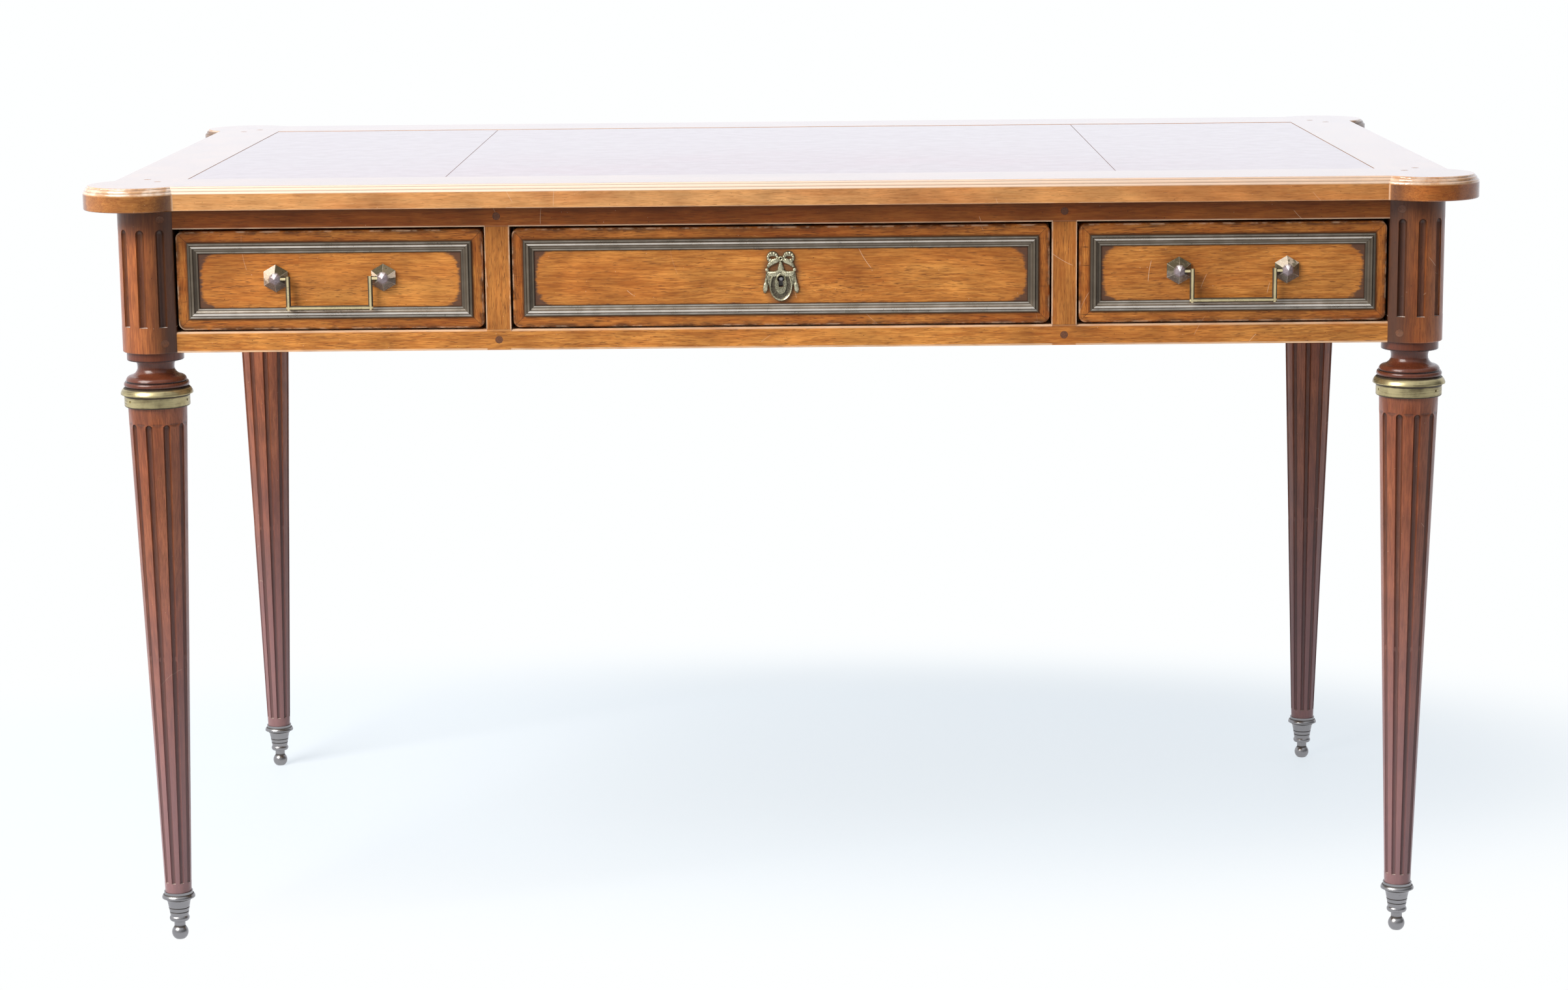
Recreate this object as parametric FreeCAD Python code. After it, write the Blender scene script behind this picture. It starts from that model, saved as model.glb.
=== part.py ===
import FreeCAD, Part
import math
import os

# Writing desk with three drawers in the frieze, on four turned and fluted legs.
# Millimetres, +Z up, +X to the right of the sitter's view of the drawers, drawers face -Y.
# The origin is on the floor, midway between the legs.

# Overall
desk_height = 760.0              # floor to the upper face of the top
leg_span_x = 1222.0              # leg axis to leg axis, left to right
leg_span_y = 676.0               # leg axis to leg axis, front to back
joint_gap = 0.1                  # glue line round tenons, pegs and fitted metal

# Top
top_thickness = 23.0
top_overhang = 43.0              # leg axis to the straight edges of the top
ear_radius = 51.8                # round ear of the top at each corner
ear_offset = 9.2                 # leg axis to the middle of its ear, outwards both ways
edge_arris = 1.0                 # rounding of the lower edge
edge_rounds = (                  # run, rise and swell of the rounds over the plain edge, from below
    (1.5, 2.5, 0.5),
    (1.7, 3.0, 0.6),
    (1.3, 1.8, 0.4),
)
edge_ledge = 0.4                 # level step between two rounds
end_rail_inset = 31.0            # leg axis to the inner edge of an end rail
long_rail_inset = 40.5           # leg axis to the inner edge of a long rail
top_tenon_length = 45.0          # long rail into end rail
top_tenon_thickness = 8.0
top_tenon_shoulder = 14.0
ground_thickness = 14.0          # panel under the leather
tongue_length = 7.0
tongue_thickness = 5.0
leather_thickness = 1.6
leather_drop = 0.3               # leather below the wood around it
leather_seam = 0.8               # open line round each leather
centre_leather_width = 655.0
top_peg_radius = 3.5
top_peg_depth = 15.0             # reach of a top peg below the top
top_peg_in = 6.0                 # peg over the post: from the leg axis towards the middle
top_peg_back = 17.0
apron_peg_back = 42.0            # peg over the end apron, from the leg axis

# Frieze
top_rail_height = 20.0
opening_height = 100.0
bottom_rail_height = 20.0
rail_face_offset = 18.5          # leg axis to the face of rails and aprons
front_rail_depth = 60.0
rail_round = 2.5                 # worn upper arris of the bottom rail in each opening
stile_width = 24.0
centre_opening = 523.0
apron_thickness = 20.0
tenon_length = 22.0
tenon_thickness = 10.0
tenon_shoulder = 4.0             # rail tenon, above and below
apron_tenon_shoulder = 12.0
stile_tenon_length = 14.0
stile_tenon_thickness = 12.0
peg_radius = 3.6
peg_length = 34.0
post_peg_offset = 10.0           # flat of the post to the axis of its pegs
peg_past_tenon = 4.0

# Drawer ways inside the frieze
runner_height = 16.0
runner_ledge = 20.0              # width of runner under a drawer side
guide_height = 23.0              # guide above the runner
stub_length = 8.0                # stub tenons of runners and kickers
stub_thickness = 8.0
stub_shoulder = 4.0
stop_length = 30.0
stop_depth = 15.0
stop_height = 5.0
stop_inset = 60.0                # jamb to the near end of a stop
stop_gap = 0.3

# Leg turning, from the post down
post_radius = 31.0
post_arris = 1.2
disc_radius = 27.6
disc_height = 8.5
disc_arris = 0.8
neck_lip = 2.0                   # widening of the neck under the disc
neck_radius = 18.0
neck_drop = 17.4                 # post to the narrowest part of the neck
neck_hollow = 0.9                # rise of each arc over its chord
bell_shoulder_radius = 25.5
bell_shoulder_drop = 24.0
bell_hollow = 1.5
bell_radius = 29.5
bell_drop = 28.4
bell_round = 0.9
bell_groove_height = 1.2
bell_groove_depth = 0.8
bead_radius = 30.2
bead_height = 5.4
bead_round = 1.4
shaft_top_radius = 28.6
shaft_foot_radius = 13.0

# Flutes
flute_count = 10
flute_phase = 9.0                # degrees from square to the front
post_flute_width = 8.3
post_flute_top = 19.5            # top of post to flute
post_flute_foot = 25.5           # foot of post to flute
shaft_flute_top_width = 7.1
shaft_flute_foot_width = 4.2
shaft_flute_top = 16.0           # collar to flute
shaft_flute_foot = 9.8           # sabot to flute
flute_clear_angle = 10.0         # degrees kept between a post flute and the rails

# Collar
collar_height = 19.0
collar_seat_radius = 29.4
collar_lip_radius = 30.6         # upper edge of the collar
collar_rim_radius = 35.0
collar_lip_drop = 6.0
collar_lip_round = 0.8
collar_rim_height = 0.8
collar_cove_height = 2.4
collar_cove_hollow = 0.7
collar_band_radius = 31.8
collar_edge = 0.8
collar_pin_count = 3
collar_pin_phase = 45.0
collar_pin_radius = 1.1
collar_pin_sink = 1.1
collar_pin_length = 7.0
collar_pin_height = 6.5          # foot of collar to the pins

# Sabot
sabot_height = 49.8
sabot_lip_radius = 14.2
sabot_lip_band = 2.5             # plain band round the end of the shaft
sabot_rim_radius = 16.4
sabot_lip_drop = 3.1
sabot_lip_round = 0.4
sabot_rim_height = 1.0
sabot_cove_height = 4.6
sabot_cove_hollow = 0.9
sabot_cup_radius = 11.4
sabot_waist_radius = 8.8
sabot_ring_height = 5.0
sabot_ring_round = 1.1
sabot_line_heights = (32.7, 28.3)
sabot_line_width = 0.8
sabot_line_depth = 0.5
foot_neck_radius = 5.5
foot_neck_height = 6.3
ball_radius = 8.2
ball_centre = 6.6                # height of the ball's centre over its flat sole
foot_seat_depth = 7.3            # shaft end let into the sabot
spigot_radius = 6.0
spigot_length = 16.0

# Drawers
drawer_depth = 560.0
front_thickness = 20.0
front_recess = 1.5               # drawer face behind the rail face
front_corner_radius = 7.0
front_round = 2.0
drawer_side_gap = 2.0
drawer_top_gap = 2.6
drawer_foot_gap = 1.6
run_gap = 0.3                    # drawer side over its runner
side_thickness = 10.0
side_top_gap = 4.0
back_thickness = 10.0
back_drop = 5.0                  # drawer back below the sides
bottom_thickness = 7.0
bottom_lift = 8.0
bottom_groove = 5.0
tail_count = 3
tail_width = 18.0
tail_lap = 14.0                  # tail length in the drawer front
tail_slope = 1.0 / 6.0

# Brass mouldings
moulding_inset = 11.2            # edge of the drawer front to the moulding
moulding_width = 10.0
moulding_step_width = 2.2
moulding_step_height = 2.0
moulding_groove_width = 0.6
moulding_groove_height = 1.3
moulding_bead_width = 2.4
moulding_bead_height = 3.6
moulding_bead_round = 0.6
moulding_hollow = 0.7
moulding_fillet_width = 1.5
moulding_fillet_height = 1.2

# Handles
handle_spacing = 104.0
handle_lift = 2.2                # handle axis above the middle of the drawer front
knob_radius = 13.5               # corner radius of the six-sided knob
knob_base_radius = 12.4
knob_base = 2.2
knob_slope = 8.8
knob_tip_radius = 4.8
knob_tip = 3.6
pivot_stand_off = 8.0
pin_radius = 1.9
pin_gap = 0.15
pin_end = 2.5                    # knob axis to the end of the bail's pin
pin_end_gap = 0.5
bail_width = 83.8
bail_drop = 28.3
bail_bar = 4.4
bail_chamfer = 0.9
shank_radius = 3.0
nut_radius = 7.0
nut_thickness = 4.5
shank_past_nut = 1.5

# Lock
key_height = 2.7                 # keyhole below the middle of the drawer front
key_radius = 3.5
key_slot_width = 4.2
key_slot_drop = 7.8
lock_width = 60.0
lock_height = 66.0
lock_thickness = 12.0
lock_bolt_width = 24.0
lock_bolt_height = 34.0
lock_bolt_thickness = 6.0
lock_bolt_gap = 0.3
lock_bolt_sink = 0.5             # bolt below the top of the lock at rest
lock_bolt_travel = 8.0
drill_pin_radius = 1.6
drill_pin_sink = 1.0             # end of the pin behind the face of the escutcheon

# Escutcheon, as seen from the front
plate_thickness = 2.0
shield_radius_x = 11.7
shield_radius_z = 15.0
shield_drop = 7.5                # keyhole to the middle of the shield
bow_rise = 20.2                  # keyhole to the knot of the bow
bow_loop_x = 8.1
bow_loop_radius_x = 5.7
bow_loop_radius_z = 5.9
bow_hole_radius_x = 3.0
bow_hole_radius_z = 1.9
knot_radius = 2.5
swag_rise = 11.0                 # keyhole to the middle of the swags
swag_radius_x = 14.2
swag_radius_z = 6.2
swag_hole_x = 7.4
swag_hole_rise = 1.6
swag_hole_radius_x = 4.6
swag_hole_radius_z = 2.4
drop_x = 14.6                    # side pendants
drop_rise = 0.5
drop_radius_x = 1.9
drop_radius_z = 12.0

# Derived places
V = FreeCAD.Vector
origin = V(0, 0, 0)
axis_x = V(1, 0, 0)
axis_y = V(0, 1, 0)
axis_z = V(0, 0, 1)
corners = {
    "front_left": (-1, -1),
    "front_right": (1, -1),
    "back_left": (-1, 1),
    "back_right": (1, 1),
}
leg_x = leg_span_x / 2
leg_y = leg_span_y / 2
under_top = desk_height - top_thickness
opening_top = under_top - top_rail_height
opening_foot = opening_top - opening_height
post_foot = opening_foot - bottom_rail_height
rail_face = leg_y + rail_face_offset
apron_face = leg_x + rail_face_offset
post_flat = math.sqrt(post_radius ** 2 - rail_face_offset ** 2)
flat_x = leg_x - post_flat       # inner flats of the posts
flat_y = leg_y - post_flat
rail_back = rail_face - front_rail_depth
apron_back = rail_face - apron_thickness
end_apron_inner = apron_face - apron_thickness
rail_tenon_y = (rail_face + flat_y) / 2
panel_x = leg_x - end_rail_inset
panel_y = leg_y - long_rail_inset
collar_top = post_foot - bell_drop - bell_groove_height - bead_height
collar_foot = collar_top - collar_height
stile_x = centre_opening / 2 + stile_width / 2
upper_peg_z = opening_top + top_rail_height / 2
lower_peg_z = post_foot + bottom_rail_height / 2
drawer_face = -rail_face + front_recess
front_back = drawer_face + front_thickness
front_foot = opening_foot + drawer_foot_gap
front_top = opening_top - drawer_top_gap
front_middle = (front_foot + front_top) / 2
key_z = front_middle - key_height
openings = {
    "left": (-flat_x, -stile_x - stile_width / 2),
    "centre": (-stile_x + stile_width / 2, stile_x - stile_width / 2),
    "right": (stile_x + stile_width / 2, flat_x),
}
parts = {}


def block(x0, x1, y0, y1, z0, z1, grow=0.0):
    # Rectangular block between two corners, grown by a clearance on every side
    corner = V(x0 - grow, y0 - grow, z0 - grow)
    return Part.makeBox(x1 - x0 + 2 * grow, y1 - y0 + 2 * grow, z1 - z0 + 2 * grow, corner)


def outline(steps, place):
    # Flat face from (u, w) points, where a third number is an arc's rise to the right of its chord
    edges = []
    for start, end in zip(steps, steps[1:] + steps[:1]):
        first = place(start[0], start[1])
        last = place(end[0], end[1])
        if len(end) < 3:
            edges.append(Part.LineSegment(first, last).toShape())
            continue
        run_u = end[0] - start[0]
        run_w = end[1] - start[1]
        share = end[2] / math.hypot(run_u, run_w)
        middle = place(start[0] + run_u / 2 + run_w * share, start[1] + run_w / 2 - run_u * share)
        edges.append(Part.Arc(first, middle, last).toShape())
    return Part.Face(Part.Wire(edges))


def turned(steps):
    # Solid of revolution about the vertical, from (radius, height) steps
    face = outline(steps, lambda r, z: V(r, 0, z))
    return face.revolve(origin, axis_z, 360)


def quarter_rise(run):
    # Rise of a quarter circle over its chord, for a corner of the given radius
    return run * (1 - math.sqrt(0.5))


def placed(shape, x, y, z):
    # Copy of a shape, moved
    moved = shape.copy()
    moved.translate(V(x, y, z))
    return moved


def at_corner(shape, sign_x, sign_y):
    # A piece modelled at the back right corner, reflected to another corner of the desk
    if sign_x < 0:
        shape = shape.mirror(origin, axis_x)
    if sign_y < 0:
        shape = shape.mirror(origin, axis_y)
    return shape


def cut_by(shape, tools):
    # The shape without those tools that reach it
    near = [tool for tool in tools if tool.BoundBox.intersect(shape.BoundBox)]
    return shape.cut(near) if near else shape


def joined(pieces):
    # One solid from pieces that overlap or share faces
    return pieces[0].fuse(pieces[1:]).removeSplitter()


def six_sided(radius, y):
    # Hexagon with a corner upwards, in a plane square to Y about the Y axis
    turns = [math.radians(60 * k + 90) for k in range(7)]
    return Part.makePolygon([V(radius * math.cos(t), y, radius * math.sin(t)) for t in turns])


def oval(x, z, radius_x, radius_z, y0, y1):
    # Upright oval slab between two depths
    centre = V(x, y0, z)
    tips = [V(x, y0, z + radius_z), V(x + radius_x, y0, z)]
    if radius_x > radius_z:
        tips.reverse()
    curve = Part.Ellipse(tips[0], tips[1], centre)
    return Part.Face(Part.Wire(curve.toShape())).extrude(V(0, y1 - y0, 0))


def mitred_run(profile, width, length):
    # Straight moulding along +X from the origin, its width upwards, facing -Y, mitred at both ends
    face = outline(profile, lambda u, w: V(0, -w, u))
    bar = face.extrude(V(length, 0, 0))
    reach = max(step[1] for step in profile)
    corners_xz = [(0, 0), (length, 0), (length - width, width), (width, width), (0, 0)]
    mitre = Part.Face(Part.makePolygon([V(x, 0, z) for x, z in corners_xz]))
    return bar.common(mitre.extrude(V(0, -reach, 0)))


def mitred_frame(profile, width, x0, x1, z0, z1, face_y):
    # Four mitred runs round a rectangle, in the order foot, right, top, left
    starts = [(x0, z0), (x1, z0), (x1, z1), (x0, z1)]
    runs = []
    for side, (x, z) in enumerate(starts):
        length = x1 - x0 if side % 2 == 0 else z1 - z0
        run = mitred_run(profile, width, length)
        run.rotate(origin, axis_y, -90 * side)
        runs.append(placed(run, x, face_y, z))
    return runs


def brass_frame(x0, x1, z0, z1, face_y):
    # Stepped brass moulding, proud of a face that looks to -Y
    groove_end = moulding_step_width + moulding_groove_width
    bead_end = groove_end + moulding_bead_width
    inner = moulding_width - moulding_fillet_width
    profile = [
        (0, 0),
        (moulding_width, 0),
        (moulding_width, moulding_fillet_height),
        (inner, moulding_fillet_height),
        (bead_end, moulding_bead_height, -moulding_hollow),
        (groove_end, moulding_bead_height - moulding_bead_round, moulding_bead_round),
        (groove_end, moulding_groove_height),
        (moulding_step_width, moulding_groove_height),
        (moulding_step_width, moulding_step_height),
        (0, moulding_step_height),
    ]
    return mitred_frame(profile, moulding_width, x0, x1, z0, z1, face_y)


def shaft_radius(z):
    # Straight taper of the shaft from collar to sabot
    share = (z - sabot_height) / (collar_foot - sabot_height)
    return shaft_foot_radius + share * (shaft_top_radius - shaft_foot_radius)


def flute(turn, radius_foot, radius_top, foot, top, width_foot, width_top):
    # Round cutter along the surface of a turned leg, domed at the top and square at the foot
    start = V(radius_foot, 0, foot)
    end = V(radius_top, 0, top - width_top / 2)
    run = end - start
    if width_foot == width_top:
        bar = Part.makeCylinder(width_foot / 2, run.Length, start, run)
    else:
        bar = Part.makeCone(width_foot / 2, width_top / 2, run.Length, start, run)
    cutter = bar.fuse(Part.makeSphere(width_top / 2, end))
    cutter.rotate(origin, axis_z, 90 - turn)
    return cutter


def leg_blank():
    # One turned leg at the back right corner: post with two inner flats, turned neck, fluted shaft
    disc_foot = post_foot - disc_height
    neck = post_foot - neck_drop
    bell_foot = post_foot - bell_drop
    groove_foot = bell_foot - bell_groove_height
    shaft_end = sabot_height - foot_seat_depth
    body = turned([
        (0, shaft_end - spigot_length),
        (spigot_radius, shaft_end - spigot_length),
        (spigot_radius, shaft_end),
        (shaft_radius(shaft_end), shaft_end),
        (shaft_top_radius, collar_foot),
        (collar_seat_radius, collar_foot),
        (collar_seat_radius, collar_top),
        (bead_radius, collar_top),
        (bead_radius, groove_foot, bead_round),
        (bell_radius - bell_groove_depth, groove_foot),
        (bell_radius - bell_groove_depth, bell_foot),
        (bell_radius, bell_foot),
        (bell_shoulder_radius, post_foot - bell_shoulder_drop, bell_round),
        (neck_radius, neck, -bell_hollow),
        (neck_radius + neck_lip, disc_foot, -neck_hollow),
        (disc_radius - disc_arris, disc_foot),
        (disc_radius, disc_foot + disc_arris, quarter_rise(disc_arris)),
        (disc_radius, post_foot),
        (post_radius - post_arris, post_foot),
        (post_radius, post_foot + post_arris, quarter_rise(post_arris)),
        (post_radius, under_top),
        (0, under_top),
    ])
    flats = [
        block(-post_radius, -post_flat, -post_radius, rail_face_offset, post_foot, under_top),
        block(-post_radius, rail_face_offset, -post_radius, -post_flat, post_foot, under_top),
    ]
    rail_turn = math.degrees(math.acos(rail_face_offset / post_radius)) - flute_clear_angle
    cutters = []
    for k in range(flute_count):
        turn = flute_phase + 360 * k / flute_count
        foot = sabot_height + shaft_flute_foot
        top = collar_foot - shaft_flute_top
        cutters.append(flute(turn, shaft_radius(foot), shaft_radius(top), foot, top,
                             shaft_flute_foot_width, shaft_flute_top_width))
        round_turn = (turn + 180) % 360 - 180
        if -rail_turn < round_turn < 90 + rail_turn:
            cutters.append(flute(turn, post_radius, post_radius, post_foot + post_flute_foot,
                                 under_top - post_flute_top, post_flute_width, post_flute_width))
    return placed(body.cut(flats + cutters), leg_x, leg_y, 0)


def collar_ring():
    # Brass ring below the bead: flared lip, hollow under its rim, plain band
    rim_top = collar_top - collar_lip_drop
    cove_top = rim_top - collar_rim_height
    cove_foot = cove_top - collar_cove_height
    bore = collar_seat_radius + joint_gap
    ring = turned([
        (bore, collar_foot),
        (collar_band_radius - collar_edge, collar_foot),
        (collar_band_radius, collar_foot + collar_edge),
        (collar_band_radius, cove_foot),
        (collar_rim_radius, cove_top, -collar_cove_hollow),
        (collar_rim_radius, rim_top),
        (collar_lip_radius, collar_top, collar_lip_round),
        (bore, collar_top),
    ])
    return placed(ring, leg_x, leg_y, 0)


def collar_pins(reach, grow=0.0):
    # Radial pins of one collar, from inside the leg out to the given radius
    shapes = []
    start = V(collar_band_radius - collar_pin_length - grow, 0, 0)
    for k in range(collar_pin_count):
        pin = Part.makeCylinder(collar_pin_radius + grow, reach - start.x, start, axis_x)
        pin.rotate(origin, axis_z, 90 - collar_pin_phase - 360 * k / collar_pin_count)
        shapes.append(placed(pin, leg_x, leg_y, collar_foot + collar_pin_height))
    return shapes


def sabot_cup():
    # Bronze foot: band, flared rim, tapered cup with two incised lines, ring, neck, flat-soled ball
    neck_foot = ball_centre + math.sqrt(ball_radius ** 2 - foot_neck_radius ** 2)
    ring_foot = neck_foot + foot_neck_height
    ring_top = ring_foot + sabot_ring_height
    lip_top = sabot_height - sabot_lip_band
    rim_top = lip_top - sabot_lip_drop
    cove_top = rim_top - sabot_rim_height
    cup_top = cove_top - sabot_cove_height
    sole = math.sqrt(ball_radius ** 2 - ball_centre ** 2)
    ball_rise = ball_radius - math.hypot((sole + foot_neck_radius) / 2, neck_foot / 2 - ball_centre)
    lines = []
    for height in reversed(sabot_line_heights):
        share = (height - ring_top) / (cup_top - ring_top)
        radius = sabot_waist_radius + share * (sabot_cup_radius - sabot_waist_radius)
        lines += [
            (radius, height - sabot_line_width / 2),
            (radius - sabot_line_depth, height),
            (radius, height + sabot_line_width / 2),
        ]
    cup = turned([
        (0, 0),
        (sole, 0),
        (foot_neck_radius, neck_foot, ball_rise),
        (foot_neck_radius, ring_foot),
        (sabot_waist_radius, ring_foot),
        (sabot_waist_radius, ring_top, sabot_ring_round),
        *lines,
        (sabot_cup_radius, cup_top),
        (sabot_rim_radius, cove_top, -sabot_cove_hollow),
        (sabot_rim_radius, rim_top),
        (sabot_lip_radius, lip_top, sabot_lip_round),
        (sabot_lip_radius, sabot_height),
        (0, sabot_height),
    ])
    seat = sabot_height - foot_seat_depth
    socket = Part.makeCylinder(shaft_foot_radius + joint_gap, foot_seat_depth + joint_gap,
                               V(0, 0, seat - joint_gap))
    bore = Part.makeCylinder(spigot_radius + joint_gap, spigot_length + joint_gap,
                             V(0, 0, seat - spigot_length - joint_gap))
    return placed(cup.cut([socket, bore]), leg_x, leg_y, 0)


def apron_tenon(grow=0.0):
    # Tenon of an end apron in the back right post
    x = apron_face - apron_thickness / 2
    return block(x - tenon_thickness / 2, x + tenon_thickness / 2, flat_y, flat_y + tenon_length,
                 post_foot + apron_tenon_shoulder, under_top - apron_tenon_shoulder, grow)


def back_tenon(grow=0.0):
    # Tenon of the back apron in the back right post
    y = rail_face - apron_thickness / 2
    return block(flat_x, flat_x + tenon_length, y - tenon_thickness / 2, y + tenon_thickness / 2,
                 post_foot + apron_tenon_shoulder, under_top - apron_tenon_shoulder, grow)


def rail_tenons(foot, height, grow=0.0):
    # Tenons at both ends of a front rail
    low = foot + tenon_shoulder
    high = foot + height - tenon_shoulder
    near = -rail_tenon_y - tenon_thickness / 2
    right = block(flat_x, flat_x + tenon_length, near, near + tenon_thickness, low, high, grow)
    return [right, right.mirror(origin, axis_x)]


def post_pegs(grow=0.0):
    # Pegs through the tenons in the four posts, cut off flush with the round of the post
    round_post = Part.makeCylinder(post_radius + grow, desk_height, V(leg_x, leg_y, 0))
    tip_y = min(rail_tenon_y, rail_face - apron_thickness / 2) - tenon_thickness / 2 - peg_past_tenon
    tip_x = apron_face - apron_thickness / 2 - tenon_thickness / 2 - peg_past_tenon
    reach = 2 * post_radius
    pegs = []
    for z in (upper_peg_z, lower_peg_z):
        across = V(flat_x + post_peg_offset, tip_y - grow, z)
        along = V(tip_x - grow, flat_y + post_peg_offset, z)
        for start, way in ((across, axis_y), (along, axis_x)):
            peg = Part.makeCylinder(peg_radius + grow, reach, start, way).common(round_post)
            pegs += [at_corner(peg, *signs) for signs in corners.values()]
    return pegs


def stile_pegs(grow=0.0):
    # Pegs through the rails into the tenons of the stiles
    places = [(sign * stile_x, z) for sign in (-1, 1) for z in (upper_peg_z, lower_peg_z)]
    return [
        Part.makeCylinder(peg_radius + grow, peg_length + grow, V(x, -rail_face, z), axis_y)
        for x, z in places
    ]


def top_pegs(grow=0.0):
    # Two pegs at each corner of the top: one into the post, one into the end apron
    places = [
        (leg_x - top_peg_in, leg_y - top_peg_back),
        (apron_face - apron_thickness / 2, leg_y - apron_peg_back),
    ]
    foot = under_top - top_peg_depth - grow
    pegs = []
    for x, y in places:
        peg = Part.makeCylinder(top_peg_radius + grow, desk_height - foot, V(x, y, foot))
        pegs += [at_corner(peg, *signs) for signs in corners.values()]
    return pegs


def top_edge(reach):
    # Outline of half the moulded top, from its middle out to the edge at the given reach
    u = reach
    w = desk_height - sum(rise for _, rise, _ in edge_rounds)
    steps = [
        (0, under_top),
        (reach - edge_arris, under_top),
        (reach, under_top + edge_arris, quarter_rise(edge_arris)),
        (u, w),
    ]
    for order, (run, rise, swell) in enumerate(edge_rounds):
        if order > 0:
            u -= edge_ledge
            steps.append((u, w))
        u -= run
        w += rise
        steps.append((u, w, swell))
    return steps + [(0, desk_height)]


def whole_top():
    # Moulded slab with round ears over the legs
    half_long = outline(top_edge(leg_y + top_overhang), lambda y, z: V(-leg_x, y, z))
    half_end = outline(top_edge(leg_x + top_overhang), lambda x, z: V(x, -leg_y, z))
    long_half = half_long.extrude(V(2 * leg_x, 0, 0))
    end_half = half_end.extrude(V(0, 2 * leg_y, 0))
    ear = placed(turned(top_edge(ear_radius)), leg_x + ear_offset, leg_y + ear_offset, 0)
    pieces = [long_half, long_half.mirror(origin, axis_y), end_half, end_half.mirror(origin, axis_x)]
    pieces += [at_corner(ear, *signs) for signs in corners.values()]
    return joined(pieces)


def top_parts():
    # Two end rails with the ears, two long rails tenoned between them, and a panel with leather
    slab = whole_top()
    far = leg_x + leg_y + ear_radius
    ground_top = desk_height - leather_drop - leather_thickness
    ground_foot = ground_top - ground_thickness
    tongue_foot = ground_foot + (ground_thickness - tongue_thickness) / 2
    tongue_x = panel_x + tongue_length
    tongue_y = panel_y + tongue_length
    tongue_top = tongue_foot + tongue_thickness
    groove = block(-tongue_x, tongue_x, -tongue_y, tongue_y, tongue_foot, tongue_top, joint_gap)
    tenon_foot = under_top + (top_thickness - top_tenon_thickness) / 2
    tenon_y0 = panel_y + top_tenon_shoulder
    tenon_y1 = leg_y + top_overhang - top_tenon_shoulder
    tenon_x = panel_x + top_tenon_length
    holes = top_pegs(joint_gap)

    def tenon(sign_y, grow=0.0):
        bar = block(-tenon_x, tenon_x, tenon_y0, tenon_y1, tenon_foot,
                    tenon_foot + top_tenon_thickness, grow)
        return at_corner(bar, 1, sign_y)

    end = slab.common(block(panel_x, far, -far, far, 0, 2 * desk_height))
    mortises = [tenon(-1, joint_gap), tenon(1, joint_gap), groove]
    for name, sign in (("top_left_rail", -1), ("top_right_rail", 1)):
        parts[name] = cut_by(at_corner(end, sign, 1), mortises + holes)
    long_rail = slab.common(block(-panel_x, panel_x, panel_y, far, 0, 2 * desk_height))
    for name, sign in (("top_front_rail", -1), ("top_back_rail", 1)):
        rail = joined([at_corner(long_rail, 1, sign), tenon(sign)])
        parts[name] = cut_by(rail, [groove] + holes)
    inner_x = panel_x - joint_gap
    inner_y = panel_y - joint_gap
    panel = block(-inner_x, inner_x, -inner_y, inner_y, ground_foot, ground_top)
    tongue = block(-tongue_x, tongue_x, -tongue_y, tongue_y, tongue_foot, tongue_top)
    parts["top_ground"] = joined([panel, tongue])
    edge = panel_x - leather_seam
    seam = centre_leather_width / 2
    spans = {
        "leather_left": (-edge, -seam - leather_seam / 2),
        "leather_centre": (-seam + leather_seam / 2, seam - leather_seam / 2),
        "leather_right": (seam + leather_seam / 2, edge),
    }
    for name, (x0, x1) in spans.items():
        parts[name] = block(x0, x1, -panel_y + leather_seam, panel_y - leather_seam,
                            ground_top, ground_top + leather_thickness)
    parts["top_pegs"] = Part.makeCompound(top_pegs())


def leg_parts():
    # Four legs with their collars, sabots and collar pins
    blank = leg_blank()
    pin_holes = collar_pins(collar_rim_radius, joint_gap)
    ring = cut_by(collar_ring(), pin_holes)
    cup = sabot_cup()
    pins = collar_pins(collar_band_radius - collar_pin_sink)
    holes = [at_corner(hole, *signs) for signs in corners.values() for hole in pin_holes]
    holes += post_pegs(joint_gap) + top_pegs(joint_gap)
    holes += rail_tenons(opening_top, top_rail_height, joint_gap)
    holes += rail_tenons(post_foot, bottom_rail_height, joint_gap)
    holes += [at_corner(apron_tenon(joint_gap), *signs) for signs in corners.values()]
    holes += [at_corner(back_tenon(joint_gap), sign, 1) for sign in (-1, 1)]
    all_pins = []
    for name, signs in corners.items():
        parts[name + "_leg"] = cut_by(at_corner(blank, *signs), holes)
        parts[name + "_collar"] = at_corner(ring, *signs)
        parts[name + "_sabot"] = at_corner(cup, *signs)
        all_pins += [at_corner(pin, *signs) for pin in pins]
    parts["collar_pins"] = Part.makeCompound(all_pins)


def way_spans():
    # Spans in X of the four drawer ways: two against the posts and two behind the stiles
    inner = (stile_x - stile_width / 2 - runner_ledge, stile_x + stile_width / 2 + runner_ledge)
    outer = (flat_x - runner_ledge, flat_x)
    return [(-outer[1], -outer[0]), (-inner[1], -inner[0]), inner, outer]


def way_bars(foot, height):
    # Lengthwise bars between the front rails and the back apron, with a stub tenon at each end
    bars = []
    for x0, x1 in way_spans():
        bar = block(x0, x1, -rail_back, apron_back, foot, foot + height)
        bars.append(joined([bar] + way_stubs(x0, x1, foot)))
    return bars


def way_stubs(x0, x1, foot, grow=0.0):
    # Stub tenons of one lengthwise bar
    low = foot + stub_shoulder
    high = low + stub_thickness
    left = x0 + stub_shoulder
    right = x1 - stub_shoulder
    return [
        block(left, right, -rail_back - stub_length, -rail_back, low, high, grow),
        block(left, right, apron_back, apron_back + stub_length, low, high, grow),
    ]


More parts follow.
